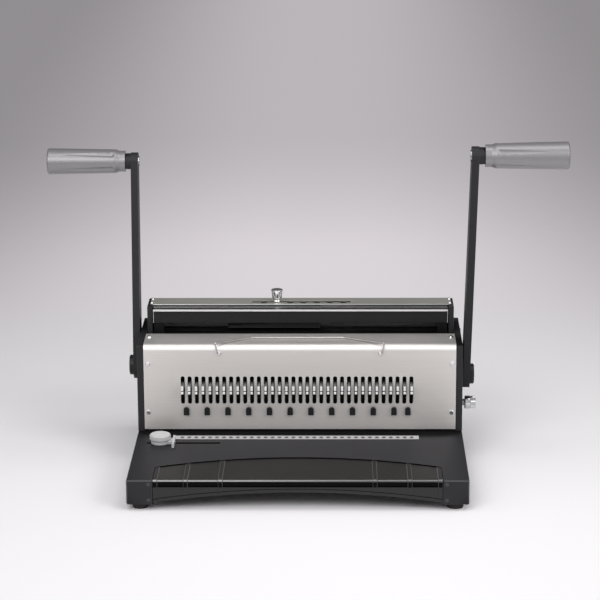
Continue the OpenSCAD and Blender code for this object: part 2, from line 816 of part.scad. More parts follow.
module drawer_front() color("#18181a") difference() {
  intersection() {
    translate([0, 0, base_z]) linear_extrude(base_h + 2 * rib_h) drawer_plan(0, front_y);
    union() {
      along_x([-drawer_x, drawer_x]) moulding_section(0, band_d);
      for (x = [-rib_outer_x, -rib_inner_x, rib_inner_x, rib_outer_x])
        along_x(about(x, rib_w / 2)) moulding_section(rib_h);
      both_sides() along_x([drawer_x - rib_w, drawer_x]) moulding_section(rib_h);
    }
  }
  rod_y(2 * arch_r, 0, [front_y - cut, moulding_in + cut],
    base_z + arch_mid - arch_r, $fn = 360);
}

module chip_tray() color("#4a4b4e") {
  difference() {
    block([-tray_x, tray_x], [tray_y, tray_back], [tray_z, tray_top]);
    block([-tray_x + tray_t, tray_x - tray_t], [tray_y + tray_t, tray_back - tray_t],
      [tray_z + tray_t, tray_top + cut]);
  }
  block(tray_tab_w / 2 * [-1, 1], [tray_y, tray_y + tray_t], [tray_top, table_z - drawer_t]);
}

module ruler_strip() color("#c9c9c6")
  block([ruler_x0, ruler_x0 + ruler_l], [ruler_y1 - ruler_d, ruler_y1],
    span(table_z + ruler_proud, -ruler_t, 0));

module margin_fence() color("#b9b9bb") difference() {
  union() {
    rod_z(fence_foot_d, margin_x, margin_y, span(fence_z, 0, fence_foot_t));
    block(span(margin_x, 0, fence_x), about(margin_y, stud_head / 2), span(fence_z, 0, fence_foot_t));
    block(span(margin_x + fence_x, 0, fence_t), span(margin_y - fence_front, 0, fence_l),
      span(fence_z, 0, fence_h));
  }
  rod_z(stud_d, margin_x, margin_y, span(fence_z, -cut, fence_foot_t + cut));
}

module margin_stud() color("#8d8f92") {
  block(about(margin_x, stud_head / 2), about(margin_y, stud_head / 2),
    span(under_z - slide, -stud_head_t, 0));
  rod_z(stud_d, margin_x, margin_y, [under_z - slide, margin_knob_z + margin_knob_h - 1.5 * knob_top_t]);
}

module margin_knob() color("#c4c4c6") translate([margin_x, margin_y, margin_knob_z + slide / 2])
  rotate_extrude() polygon(concat(
    [[stud_d / 2 + run, 0], [margin_knob_d / 2 - edge, 0]],
    [[margin_knob_d / 2 - edge, knob_top_t], [margin_knob_d / 2, knob_top_t + edge]],
    [[margin_knob_d / 2, margin_knob_h - edge], [margin_knob_d / 2 - edge, margin_knob_h]],
    [[0, margin_knob_h], [0, margin_knob_h - knob_top_t], [stud_d / 2 + run, margin_knob_h - knob_top_t]]
  ));

// A side frame with its bores, drawn on the right
module side_frame() difference() {
  block([side_in, base_x], [panel_y, side_back], [table_z, side_top]);
  rod_x(punch_shaft_d + 2 * bush_wall, [side_in - cut, base_x + cut], punch_shaft_y, shaft_z);
  rod_x(closing_shaft_d + 2 * bush_wall, [side_in - cut, base_x + cut], closing_shaft_y, shaft_z);
  rod_x(depth_shaft_d + 2 * run, [side_in - cut, base_x + cut], depth_y, depth_z);
  for (z = tie_zs) rod_x(tie_screw_d, [side_in - cut, base_x + cut], tie_y, z);
  for (y = frame_bolt_ys) rod_z(frame_bolt_d, frame_bolt_x, y, span(table_z, -cut, frame_bolt_l + edge));
}

module side_frame_right() color("#2f2f32") side_frame();
module side_frame_left() color("#2f2f32") mirror([1, 0, 0]) side_frame();

module frame_bolt_places()
  both_sides() for (y = frame_bolt_ys) translate([frame_bolt_x, y, 0]) children();

module frame_bolts() color("#77797c")
  frame_bolt_places() {
    rod_z(frame_bolt_d, 0, 0, [under_z, table_z + frame_bolt_l]);
    rod_z(bolt_head * frame_bolt_d, 0, 0, span(under_z, -bolt_head_t, 0), $fn = 6);
  }

module tie_bars() color("#8d8f92")
  for (z = tie_zs) difference() {
    rod_x(tie_d, [-side_in, side_in], tie_y, z);
    both_sides() rod_x(tie_screw_d, [side_in - tie_screw_l - edge, side_in + cut], tie_y, z);
  }

module tie_screws() color("#3c3c3f")
  both_sides() for (z = tie_zs) {
    rod_x(tie_screw_d, [side_in - tie_screw_l, base_x], tie_y, z);
    difference() {
      rod_x(bolt_head * tie_screw_d, [base_x, base_x + screw_head_t], tie_y, z);
      rod_x(bolt_head / 2 * tie_screw_d, span(base_x, screw_head_t / 2, screw_head_t + cut),
        tie_y, z, $fn = 6);
    }
  }

// A round-ended slot through the panel
module panel_slot(x) {
  straight = (slot_h - slot_w) / 2;
  block(about(x, slot_w / 2), span(panel_y, -cut, panel_t + cut), about(slot_z, straight));
  for (end = [-1, 1]) rod_y(slot_w, x, span(panel_y, -cut, panel_t + cut), slot_z + end * straight);
}

module panel_screw_places() {
  both_sides() for (z = [panel_screw_low, panel_screw_high])
    translate([panel_x - panel_screw_inset, panel_y, table_z + z]) rotate([90, 0, 0]) children();
  both_sides()
    translate([panel_x - panel_screw_inset, panel_y + panel_screw_back, panel_top]) children();
}

module front_panel() color("#b3afaa") difference() {
  union() {
    block([-panel_x, panel_x], [panel_y, panel_inner], [panel_z, panel_top - panel_bend_r]);
    block([-panel_x, panel_x], [panel_y + panel_bend_r, panel_back], [panel_top - panel_t, panel_top]);
    block([-panel_x, panel_x], [panel_back - panel_t, panel_back], [panel_top - panel_flange, panel_top]);
    intersection() {
      difference() {
        rod_x(2 * panel_bend_r, [-panel_x, panel_x], panel_y + panel_bend_r, panel_top - panel_bend_r);
        rod_x(2 * (panel_bend_r - panel_t), [-panel_x - cut, panel_x + cut],
          panel_y + panel_bend_r, panel_top - panel_bend_r);
      }
      block([-panel_x, panel_x], span(panel_y, 0, panel_bend_r), [panel_top - panel_bend_r, panel_top]);
    }
  }
  for (i = [0:holes - 1]) panel_slot(hole_x(i));
  panel_screw_places() rod_z(panel_screw_d, 0, 0, [-panel_t - cut, cut]);
}

module panel_screws() color("#c8c8c8")
  panel_screw_places() {
    rod_z(panel_screw_d, 0, 0, [-panel_t - screw_grip, 0]);
    difference() {
      cylinder(d1 = panel_screw_head, d2 = 0.7 * panel_screw_head, h = screw_dome);
      for (turn = [0, 90]) rotate(turn)
        block(about(0, 0.3 * panel_screw_head), about(0, cross_w / 2), [screw_dome / 2, screw_dome + cut]);
    }
  }

// A wire hook stands between holes, at every third hole and at the row's end
function hook_index(k) = min(0.5 + 3 * k, holes - 1.5);

module wire_hooks() color("#2a2829")
  for (k = [0:floor(holes / 3)]) {
    x = row_x + hook_index(k) * hole_pitch;
    y1 = panel_y - hook_gap;
    z = table_z + hook_low;
    top = z + hook_h - hook_w / 2;
    block(about(x, hook_w / 2), [y1 - hook_t, y1], [z, top]);
    rod_y(hook_w, x, [y1 - hook_t, y1], top);
    block(about(x, hook_w / 2), [y1 - hook_t, panel_y], [z, z + hook_t]);
  }

module bail_clips() color("#c8c8c8") both_sides() difference() {
  block(span(bail_foot_x - clip_gap, -clip_l, 0), [bail_y - wire_d / 2 - edge, panel_y],
    about(bail_z, clip_h / 2));
  rod_x(wire_d + 2 * run, span(bail_foot_x, -clip_l - 3 * wire_d, wire_d), bail_y, bail_z);
}

// A straight length of wire between two points
module wire(a, b) {
  d = b - a;
  flat = norm([d[0], d[1]]);
  translate(a) rotate([0, atan2(flat, d[2]), atan2(d[1], d[0])]) cylinder(d = wire_d, h = norm(d));
}

// The direction from one point of a path to the next, and how much each bend takes off the straight lengths
function ahead(path, i) = (path[i + 1] - path[i]) / norm(path[i + 1] - path[i]);
function bend_turn(path, i) = acos(ahead(path, i - 1) * ahead(path, i));
function bend_cut(path, i) = i == 0 || i == len(path) - 1 ? 0 : bend_r * tan(bend_turn(path, i) / 2);

// The bend at one point of a path: part of a ring about its own axis, which ends inside the straight wire
module wire_bend(path, i) {
  u = ahead(path, i - 1);
  across = cross(u, ahead(path, i));
  n = across / norm(across);
  out = cross(u, n);
  middle = path[i] - u * bend_cut(path, i) - out * bend_r;
  multmatrix([for (k = [0:2]) [out[k], u[k], n[k], middle[k]]])
    rotate(-bend_lap) rotate_extrude(angle = bend_turn(path, i) + 2 * bend_lap)
      translate([bend_r, 0]) circle(d = wire_d - bend_thin);
}

// A point of the bail on one side, where only the bar stands off the middle
function bail_point(i, side) =
  [side * bail_path[i][0] + (i == 3 ? bail_shift : 0), bail_path[i][1], bail_path[i][2]];

module wire_bail() color("#d2d2d4") {
  path = [for (i = [0:7]) i < 4 ? bail_point(i, 1) : bail_point(7 - i, -1)];
  for (i = [0:6])
    wire(path[i] + ahead(path, i) * bend_cut(path, i), path[i + 1] - ahead(path, i) * bend_cut(path, i + 1));
  for (i = [1:6]) wire_bend(path, i);
}

module ram_guides() color("#6f7174") both_sides() difference() {
  block([ram_guide_x, side_in], [panel_inner, ram_guide_back], [table_z, panel_top - panel_t]);
  block([ram_guide_x - cut, ram_x + slide], span(ram_y, -slide, ram_t + slide), [table_z - cut, panel_top]);
  block([ram_guide_x - cut, side_in + cut], span(panel_y, 0, panel_bend_r),
    [panel_top - panel_bend_r, panel_top]);
  for (z = [panel_screw_low, panel_screw_high])
    rod_y(panel_screw_d, panel_x - panel_screw_inset, span(panel_inner, -cut, screw_grip + edge),
      table_z + z);
  rod_z(panel_screw_d, panel_x - panel_screw_inset, panel_y + panel_screw_back,
    span(panel_top - panel_t, -screw_grip - edge, cut));
}

module square_row(side, z)
  for (i = [0:holes - 1])
    block(about(hole_x(i), side / 2), about(punch_y, side / 2), z);

module die_bolt_places()
  both_sides() for (y = die_bolt_ys) translate([die_bolt_x, y, 0]) children();

module die_plate() color("#9a9c9f") difference() {
  block([-die_half, die_half], [die_y0, die_y1], [die_z, table_z]);
  square_row(punch_s + 2 * punch_play, [die_z - cut, table_z + cut]);
  die_bolt_places() rod_z(die_bolt_d, 0, 0, [die_z - cut, table_z + cut]);
}

module throat_spacers() color("#8d8f92") both_sides() difference() {
  block([die_half - spacer_l, die_half], [die_y0, guide_y1], [table_z, guide_z]);
  for (y = die_bolt_ys) rod_z(die_bolt_d, die_bolt_x, y, [table_z - cut, guide_z + cut]);
}

module punch_guide() color("#84868a") difference() {
  block([-die_half, die_half], [die_y0, guide_y1], span(guide_z, 0, guide_h));
  square_row(punch_s + 2 * punch_play, span(guide_z, -cut, guide_h + cut));
  die_bolt_places() rod_z(die_bolt_d, 0, 0, span(guide_z, -cut, guide_h + cut));
}

module die_bolts() color("#4f5053")
  die_bolt_places() {
    rod_z(die_bolt_d, 0, 0, [die_z, guide_z + guide_h]);
    rod_z(bolt_head * die_bolt_d, 0, 0, span(guide_z + guide_h, 0, bolt_head_t), $fn = 6);
  }

module punches() color("#b5b7ba")
  square_row(punch_s, [guide_z + punch_lift, ram_z + socket_depth]);

module pin_row(play, y)
  for (i = [0:holes - 1])
    block(about(hole_x(i), pin_w / 2 + play), y, about(pin_z, pin_h / 2 + play));

module punch_ram() color("#7c7e82") difference() {
  block([-ram_x, ram_x], [ram_y, ram_y + ram_t], [ram_z, ram_z + ram_h]);
  pin_row(socket_play, span(ram_y, -cut, pin_pocket));
  square_row(punch_s + 2 * socket_play, span(ram_z, -cut, socket_depth + socket_play));
}

module pull_pins() color("#dcdcde") difference() {
  pin_row(0, [panel_y - pin_out, ram_y + pin_pocket - socket_play]);
  block([row_x - hole_pitch, row_x + holes * hole_pitch], span(panel_y - pin_out, -cut, pin_groove),
    about(pin_z - pin_groove_low, pin_groove / 2));
}

module ram_racks() color("#8d8f92") both_sides()
  along_x(about(punch_rack_x, rack_t / 2))
    polygon(rack_outline(punch_module, punch_shaft_y - punch_pitch_r, shaft_z,
      span(ram_z, 0, ram_rack_h), ram_y + ram_t));

// A lever's shaft, from the bush on the far side to the lever's outer face
module lever_shaft(d, y) rod_x(d, [-base_x, lever_x1], y, shaft_z);

module shaft_bushes(d, y) both_sides() difference() {
  union() {
    rod_x(d + 2 * bush_wall, [side_in, base_x], y, shaft_z);
    rod_x(d + 2 * (bush_wall + bush_rim), [base_x, base_x + bush_flange], y, shaft_z);
  }
  rod_x(d + 2 * run, [side_in - cut, base_x + bush_flange + cut], y, shaft_z);
}

module lever_pinions(m, teeth, bore, y, x) both_sides()
  pinion(m, teeth, bore, about(x, pinion_w / 2), y, shaft_z);

function lever_top(y, l, lean) = [y - l * sin(lean), shaft_z + l * cos(lean)];

// A flat tapered lever with the grip's boss and collar at its top, drawn on the right
module lever_arm(y, l, lean, bore) {
  slope = asin((lever_low_r - lever_top_r) / l);
  top = lever_top(y, l, lean);
  difference() {
    union() {
      along_x([lever_x0, lever_x1]) translate([y, shaft_z]) rotate(lean)
        polygon(concat(
          arc([0, l], lever_top_r, slope, 180 - slope),
          arc([0, 0], lever_low_r, 180 - slope, 360 + slope, 2 * arc_steps)
        ));
      rod_x(boss_d, [lever_x1 - cut, boss_x1], top[0], top[1]);
      rod_x(collar_d, [boss_x1, collar_x1], top[0], top[1]);
    }
    rod_x(bore, [lever_x0 - cut, lever_x1 + cut], y, shaft_z);
    rod_x(axle_d, [lever_x0 - cut, collar_x1 + cut], top[0], top[1]);
  }
}

module hub_cap(y) translate([lever_x1, y, shaft_z]) rotate([0, 90, 0])
  rotate_extrude() polygon([
    [0, 0], [cap_d / 2, 0], [cap_d / 2, cap_t - edge], [cap_d / 2 - edge, cap_t], [0, cap_t]
  ]);

module grip_axle(y, l, lean) {
  top = lever_top(y, l, lean);
  rod_x(axle_d, [lever_x0, grip_x0 + axle_l], top[0], top[1]);
  rod_x(axle_head_d, span(lever_x0, -axle_head_t, 0), top[0], top[1]);
}

// A tapered, fluted grip that turns on its axle, drawn on the right
module lever_grip(y, l, lean, turn) {
  top = lever_top(y, l, lean);
  bore_r = axle_d / 2 + run;
  bore_l = axle_l + slide;
  far_r = grip_small_d / 2 + (grip_big_d - grip_small_d) / 2 * flute_l / (grip_l - grip_neck_l);
  near_r = grip_small_d / 2 - flute_depth;
  end_r = max(flute_depth / 10, near_r + flute_r - far_r);
  translate([grip_x0, top[0], top[1]]) rotate([0, 90, 0]) difference() {
    rotate_extrude() polygon([
      [bore_r, 0], [grip_neck_d / 2 - edge, 0], [grip_neck_d / 2, edge],
      [grip_neck_d / 2, grip_neck_l - edge], [grip_small_d / 2, grip_neck_l],
      [grip_big_d / 2, grip_l - grip_round],
      [grip_big_d / 2 - grip_round, grip_l], [0, grip_l], [0, bore_l], [bore_r, bore_l]
    ]);
    for (k = [0:flute_count - 1]) rotate(turn + 360 / flute_count * k)
      translate([near_r + flute_r, 0, grip_neck_l + edge]) cylinder(r1 = flute_r, r2 = end_r, h = flute_l);
  }
}

module punch_shaft() color("#9b9da0") lever_shaft(punch_shaft_d, punch_shaft_y);
module punch_pinions() color("#86888c")
  lever_pinions(punch_module, punch_teeth, punch_shaft_d, punch_shaft_y, punch_rack_x);
module punch_bushes() color("#b08d4f") shaft_bushes(punch_shaft_d, punch_shaft_y);
module punch_lever() color("#2a2a2c") lever_arm(punch_shaft_y, punch_lever_l, punch_lean, punch_shaft_d);
module punch_hub_cap() color("#1c1c1d") hub_cap(punch_shaft_y);
module punch_grip_axle() color("#c8c8c8") grip_axle(punch_shaft_y, punch_lever_l, punch_lean);
module punch_grip() color("#a3a1a4")
  lever_grip(punch_shaft_y, punch_lever_l, punch_lean, punch_flute_turn);

module closing_shaft() color("#9b9da0") mirror([1, 0, 0]) lever_shaft(closing_shaft_d, closing_shaft_y);
module closing_pinions() color("#86888c")
  lever_pinions(closing_module, closing_teeth, closing_shaft_d, closing_shaft_y,
    (press_rack_x0 + press_rack_x1) / 2);
module closing_bushes() color("#b08d4f") shaft_bushes(closing_shaft_d, closing_shaft_y);
module closing_lever() color("#2a2a2c") mirror([1, 0, 0])
  lever_arm(closing_shaft_y, closing_lever_l, closing_lean, closing_shaft_d);
module closing_hub_cap() color("#1c1c1d") mirror([1, 0, 0]) hub_cap(closing_shaft_y);
module closing_grip_axle() color("#c8c8c8") mirror([1, 0, 0])
  grip_axle(closing_shaft_y, closing_lever_l, closing_lean);
module closing_grip() color("#a3a1a4") mirror([1, 0, 0])
  lever_grip(closing_shaft_y, closing_lever_l, closing_lean, closing_flute_turn);

module press_bar() color("#232325") {
  block([-press_x, press_x], span(press_y, 0, press_d), [press_z, press_top]);
  block(about(finger_x, finger_w / 2), span(press_y + press_d, 0, finger_l), span(finger_z, 0, finger_t));
}

module press_plate() color("#d0d0d3")
  block([-press_x, press_x], span(press_y, -press_lip, press_d), [press_top, plate_top]);

module press_racks() color("#8d8f92") both_sides()
  along_x([press_rack_x0, press_rack_x1]) union() {
    polygon(rack_outline(closing_module, press_pitch_y, shaft_z,
      span(shaft_z, -press_rack_low, press_rack_high), press_rack_y0));
    polygon([
      [press_rack_y0, shaft_z], [press_rack_y1, shaft_z], [press_rack_y1, press_z], [press_rack_y0, press_z]
    ]);
  }

module anvil() color("#202022") difference() {
  block([-side_in, side_in], [anvil_y0, anvil_y1], [anvil_z0, anvil_z1]);
  both_sides() block([press_rack_x0 - slide, press_rack_x1 + slide],
    [press_rack_y0 - slide, press_rack_y1 + slide], [anvil_z0 - cut, anvil_z1 + cut]);
  rod_x(anvil_groove_d, about(0, press_rack_x0 - press_lip), press_y + press_d / 2,
    anvil_z1 + anvil_groove_d / 2 - anvil_groove);
}

module bracket() difference() {
  block([bracket_x0, bracket_x1], [bracket_y0, bracket_y1], [anvil_z1, cover_top]);
  block([bracket_x0 - cut, bracket_x1 - cover_lip], [cover_y, bracket_y1 + cut], [cover_z, cover_top + cut]);
  for (y = cover_screw_ys)
    rod_z(cover_screw_d, cover_screw_x, y, [cover_z - screw_grip - edge, cover_z + cut]);
}

module bracket_right() color("#262628") bracket();
module bracket_left() color("#262628") mirror([1, 0, 0]) bracket();

module closer_cover() color("#a9a69d") difference() {
  block([-cover_x, cover_x], span(cover_y, 0, cover_d), [cover_z, cover_top]);
  block([notch_x0 - slot_left, notch_x0 + (notch_count - 1) * notch_pitch + slot_right],
    about(selector_y, stem_d / 2 + slide), [cover_z - cut, cover_top + cut]);
  for (i = [0:notch_count - 1])
    rod_z(notch_d, notch_x0 + i * notch_pitch, selector_y - notch_reach, [cover_z - cut, cover_top + cut]);
  both_sides() for (y = cover_screw_ys)
    rod_z(cover_screw_d, cover_screw_x, y, [cover_z - cut, cover_top + cut]);
}

module cover_screws() color("#d0d0d0")
  both_sides() for (y = cover_screw_ys) translate([cover_screw_x, y, cover_top]) {
    rod_z(cover_screw_d, 0, 0, [-cover_t - screw_grip, 0]);
    cylinder(d1 = bolt_head * cover_screw_d, d2 = cover_screw_d, h = screw_dome);
  }

module selector_knob() color("#d6d6d8") translate([selector_x, selector_y, cover_top + slide / 2])
  rotate_extrude() polygon([
    [0, cover_z - cover_top - slide], [stem_d / 2, cover_z - cover_top - slide], [stem_d / 2, 0],
    [knob_foot_d / 2, 0], [knob_foot_d / 2, knob_foot_h - edge / 2], [knob_neck_d / 2, knob_foot_h],
    [knob_neck_d / 2, knob_cap_z - edge], [knob_cap_d / 2, knob_cap_z],
    [knob_cap_d / 2, knob_cap_z + knob_cap_h - edge],
    [knob_cap_d / 2 - edge, knob_cap_z + knob_cap_h], [0, knob_cap_z + knob_cap_h]
  ]);

// The stepped stop under the cover that limits the press bar, one step for each notch
module stop_slide() color("#8d8f92") {
  back_y0 = stop_y0 + step_d;
  first = finger_x + (notch_now - 1) * notch_pitch;
  last = first - (notch_count - 1) * notch_pitch;
  block([last - notch_pitch / 2, first + notch_pitch / 2], [back_y0, back_y0 + stop_t],
    [stop_low, cover_z - slide / 2]);
  for (i = [0:notch_count - 1])
    block(about(first - i * notch_pitch, notch_pitch / 2), [stop_y0, back_y0],
      [stop_low, step_top - i * step_drop]);
}

module rear_cover() color("#2f2f32") {
  block([-panel_x, panel_x], [side_back - rear_t, side_back], [table_z, side_top]);
  block([-panel_x, panel_x], [rear_y, side_back], [side_top - rear_t, side_top]);
  block([-cover_x, cover_x], [rear_y, rear_y + rear_t], [side_top - rear_t, cover_z]);
}

module depth_knob() color("#cfcfd2") difference() {
  union() {
    rod_x(depth_knob_d, span(depth_knob_x, 0, depth_flange_l), depth_y, depth_z);
    rod_x(depth_end_d, span(depth_knob_x + depth_flange_l, 0, depth_end_l), depth_y, depth_z);
  }
  rod_x(depth_shaft_d, span(depth_knob_x, -cut, depth_flange_l), depth_y, depth_z);
}

module depth_spindle() color("#9b9da0")
  rod_x(depth_shaft_d, [-base_x, depth_knob_x + depth_flange_l], depth_y, depth_z);

module depth_pinions() color("#86888c") both_sides() along_x(about(stop_rack_x, pinion_w / 2))
  translate([depth_y, depth_z]) rotate(90) difference() {
    polygon(pinion_outline(depth_module, depth_teeth));
    circle(d = depth_shaft_d);
  }

module depth_stop() color("#7c7e82") {
  rack_y = span(stop_arm_y, 0, stop_rack_l);
  block([-stop_half, stop_half], [stop_edge_y, stop_arm_y + stop_arm_t], [stop_z0, stop_z1]);
  both_sides() {
    block(about(stop_rack_x, rack_t / 2), span(stop_arm_y, 0, stop_arm_t),
      [stop_z1, stop_rack_z + stop_rack_h / 2]);
    along_x(about(stop_rack_x, rack_t / 2)) mirror([1, 0]) rotate(90)
      polygon(rack_outline(depth_module, depth_z - depth_pitch_r, depth_y, rack_y, stop_rack_z));
  }
}

base_shell();
base_plate();
rubber_feet();
corner_screws();
drawer_runners();
drawer_front();
chip_tray();
ruler_strip();
margin_fence();
margin_stud();
margin_knob();
side_frame_left();
side_frame_right();
frame_bolts();
tie_bars();
tie_screws();
front_panel();
panel_screws();
wire_hooks();
bail_clips();
wire_bail();
ram_guides();
die_plate();
throat_spacers();
punch_guide();
die_bolts();
punches();
punch_ram();
pull_pins();
ram_racks();
punch_shaft();
punch_pinions();
punch_bushes();
punch_lever();
punch_hub_cap();
punch_grip_axle();
punch_grip();
closing_shaft();
closing_pinions();
closing_bushes();
closing_lever();
closing_hub_cap();
closing_grip_axle();
closing_grip();
press_bar();
press_plate();
press_racks();
anvil();
bracket_left();
bracket_right();
closer_cover();
cover_screws();
selector_knob();
stop_slide();
rear_cover();
depth_knob();
depth_spindle();
depth_pinions();
depth_stop();
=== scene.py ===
import json
import math
import bmesh
import bpy
from mathutils import Matrix, Vector
from mathutils.geometry import interpolate_bezier


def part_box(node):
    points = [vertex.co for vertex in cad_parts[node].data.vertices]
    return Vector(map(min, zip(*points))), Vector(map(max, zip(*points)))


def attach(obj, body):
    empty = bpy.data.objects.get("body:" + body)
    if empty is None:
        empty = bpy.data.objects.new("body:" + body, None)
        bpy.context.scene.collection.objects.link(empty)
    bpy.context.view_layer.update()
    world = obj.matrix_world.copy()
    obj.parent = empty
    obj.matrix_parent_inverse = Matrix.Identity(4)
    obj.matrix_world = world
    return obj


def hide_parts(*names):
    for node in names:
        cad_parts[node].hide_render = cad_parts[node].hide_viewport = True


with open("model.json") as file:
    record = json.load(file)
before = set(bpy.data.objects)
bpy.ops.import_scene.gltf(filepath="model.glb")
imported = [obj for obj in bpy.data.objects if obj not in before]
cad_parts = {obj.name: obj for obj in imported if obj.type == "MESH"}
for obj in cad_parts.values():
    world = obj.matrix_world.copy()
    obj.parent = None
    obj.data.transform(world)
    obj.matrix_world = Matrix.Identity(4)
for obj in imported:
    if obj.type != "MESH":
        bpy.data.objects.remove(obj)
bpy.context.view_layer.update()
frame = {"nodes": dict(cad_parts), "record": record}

# Camera
# A long lens almost straight in front, 15 degrees above the table and turned by under a degree.
# The picture is taken to be 600 by 600.
yaw, pitch, roll = (math.radians(angle) for angle in (0.975, 15.0, -0.296))
ahead = Vector((-math.sin(yaw) * math.cos(pitch), math.cos(yaw) * math.cos(pitch), -math.sin(pitch)))
right = Vector((math.cos(yaw), math.sin(yaw), 0))
up = right.cross(ahead)
view_right = right * math.cos(roll) + up * math.sin(roll)
view_up = up * math.cos(roll) - right * math.sin(roll)
camera = bpy.data.objects.new("camera", bpy.data.cameras.new("camera"))
camera.data.lens = 145.72
camera.data.sensor_width = 36
camera.data.clip_end = 60
camera.matrix_world = Matrix((view_right, view_up, -ahead)).transposed().to_4x4()
camera.location = (0.04914, -2.81563, 0.9649)
bpy.context.scene.collection.objects.link(camera)
bpy.context.scene.camera = camera
bpy.context.scene.view_settings.view_transform = "Standard"

# Studio
# A wide sheet of pale paper under a soft even room light, with five soft boxes near the machine.
# The paper is painted almost white in front and greyer to the back and the sides, a painted falloff of
# light.
paper_radius = 14
paper_tint, backdrop_tint, room_tint = (0.93, 0.915, 0.925), (0.985, 0.93, 0.97), (0.95, 0.94, 0.96)
room_in_front, room_behind = 0.55, 0.14


def add(tree, kind, **settings):
    made = tree.nodes.new(kind)
    for key, value in settings.items():
        setattr(made, key, value)
    return made


def feed(tree, socket, value):
    if isinstance(value, bpy.types.NodeSocket):
        tree.links.new(value, socket)
    else:
        socket.default_value = value


def number(tree, operation, first, second=0.5, clamp=False):
    made = add(tree, "ShaderNodeMath", operation=operation, use_clamp=clamp)
    for socket, value in zip(made.inputs, (first, second)):
        feed(tree, socket, value)
    return made.outputs[0]


def spread(tree, value, low, high, out_low=0.0, out_high=1.0):
    made = add(tree, "ShaderNodeMapRange", interpolation_type="SMOOTHSTEP")
    for socket, setting in zip(made.inputs[1:5], (low, high, out_low, out_high)):
        socket.default_value = setting
    tree.links.new(value, made.inputs[0])
    return made.outputs[0]


def axes(tree, kind):
    split = add(tree, "ShaderNodeSeparateXYZ")
    tree.links.new(add(tree, "ShaderNodeTexCoord").outputs[kind], split.inputs[0])
    return split.outputs


def greyed(tree, tone, tint):
    made = add(tree, "ShaderNodeCombineColor")
    for channel, share in zip(made.inputs, tint):
        tree.links.new(number(tree, "MULTIPLY", tone, share), channel)
    return made.outputs[0]


def soft_box(name, place, aim, size, power):
    lamp = bpy.data.lights.new(name, "AREA")
    lamp.shape = "RECTANGLE"
    lamp.size, lamp.size_y = size
    lamp.energy = power
    holder = bpy.data.objects.new(name, lamp)
    holder.location = place
    holder.rotation_euler = (Vector(aim) - Vector(place)).to_track_quat("-Z", "Y").to_euler()
    bpy.context.scene.collection.objects.link(holder)


bm = bmesh.new()
bmesh.ops.create_circle(bm, cap_ends=True, segments=96, radius=paper_radius)
mesh = bpy.data.meshes.new("studio_floor")
bm.to_mesh(mesh)
bm.free()
studio_floor = bpy.data.objects.new("studio_floor", mesh)
bpy.context.scene.collection.objects.link(studio_floor)
paper = bpy.data.materials.new("studio_paper")
paper.use_nodes = True
tree = paper.node_tree
shader = tree.nodes["Principled BSDF"]
shader.inputs["Roughness"].default_value = 0.9
shader.inputs["Specular IOR Level"].default_value = 0.1
ground = axes(tree, "Object")
aside = number(tree, "ABSOLUTE", ground["X"])
behind = number(tree, "ABSOLUTE", number(tree, "ADD", ground["Y"], 0.1))
squares = number(tree, "ADD", number(tree, "POWER", aside, 2), number(tree, "POWER", behind, 2))
away = number(tree, "SQRT", squares)
# Painted falloff: the paper's colour and its backdrop glow darken away from the machine and to the sides.
painted_falloff_aside = spread(tree, aside, low=0.05, high=0.75, out_low=1.0, out_high=0.58)
painted_falloff_far = spread(tree, away, low=-0.1, high=2.3, out_low=1.0, out_high=0.5)
tree.links.new(greyed(tree, painted_falloff_far, paper_tint), shader.inputs["Base Color"])
glow = add(tree, "ShaderNodeEmission")
distance_grey = number(tree, "MULTIPLY", painted_falloff_aside, painted_falloff_far)
tree.links.new(greyed(tree, distance_grey, backdrop_tint), glow.inputs["Color"])
seen = add(tree, "ShaderNodeLightPath").outputs
straight = number(tree, "MAXIMUM", seen["Is Camera Ray"], seen["Is Glossy Ray"])
straight = number(tree, "MAXIMUM", straight, seen["Is Transmission Ray"])
past_machine = spread(tree, away, low=0.45, high=1.3)
backdrop = add(tree, "ShaderNodeMixShader")
tree.links.new(number(tree, "MULTIPLY", past_machine, straight), backdrop.inputs[0])
tree.links.new(shader.outputs[0], backdrop.inputs[1])
tree.links.new(glow.outputs[0], backdrop.inputs[2])
tree.links.new(backdrop.outputs[0], tree.nodes["Material Output"].inputs["Surface"])
mesh.materials.append(paper)

world = bpy.data.worlds.new("studio_room")
world.use_nodes = True
tree = world.node_tree
room = tree.nodes["Background"]
room.inputs["Color"].default_value = (*room_tint, 1)
to_the_back = axes(tree, "Generated")["Y"]
room_light = spread(tree, to_the_back, low=-0.3, high=0.7, out_low=room_in_front, out_high=room_behind)
tree.links.new(room_light, room.inputs["Strength"])
bpy.context.scene.world = world

soft_box("key_box", place=(-0.7, -1.8, 1.55), aim=(0, 0, 0.12), size=(1.4, 1.1), power=19.5)
soft_box("top_box", place=(0.1, -0.35, 2.0), aim=(0, 0, 0.1), size=(1.8, 0.7), power=10)
soft_box("fill_box", place=(1.4, -1.4, 1.3), aim=(0, 0, 0.12), size=(1.0, 1.0), power=15.5)
soft_box("left_box", place=(-1.7, -0.6, 1.1), aim=(0, 0, 0.2), size=(0.5, 0.8), power=2.5)
soft_box("right_box", place=(1.6, 0.1, 1.3), aim=(0.45, 0, 0), size=(0.8, 0.8), power=4)

# Base shell
# The folded steel sheet whose top is the paper table, black with a fine satin powder coat.
# The folds have a small bend radius, and the edges are painted lighter, partly as wear of the coat and
# partly as a painted highlight along them.
nodes = frame["nodes"]
body_of = {n: b for b, members in frame["record"]["behaviour"]["bodies"].items() for n in members}
COLOUR, VALUE, VECTOR = "NodeSocketColor", "NodeSocketFloat", "NodeSocketVector"


def grey(tone):
    return (tone, tone, tone)


def effect(name, inputs, outputs):
    group = bpy.data.node_groups.new(name, "ShaderNodeTree")
    for label, kind, value in inputs:
        socket = group.interface.new_socket(label, in_out="INPUT", socket_type=kind)
        socket.default_value = value
    for label, kind in outputs:
        group.interface.new_socket(label, in_out="OUTPUT", socket_type=kind)
    return group, group.nodes.new("NodeGroupInput").outputs, group.nodes.new("NodeGroupOutput").inputs


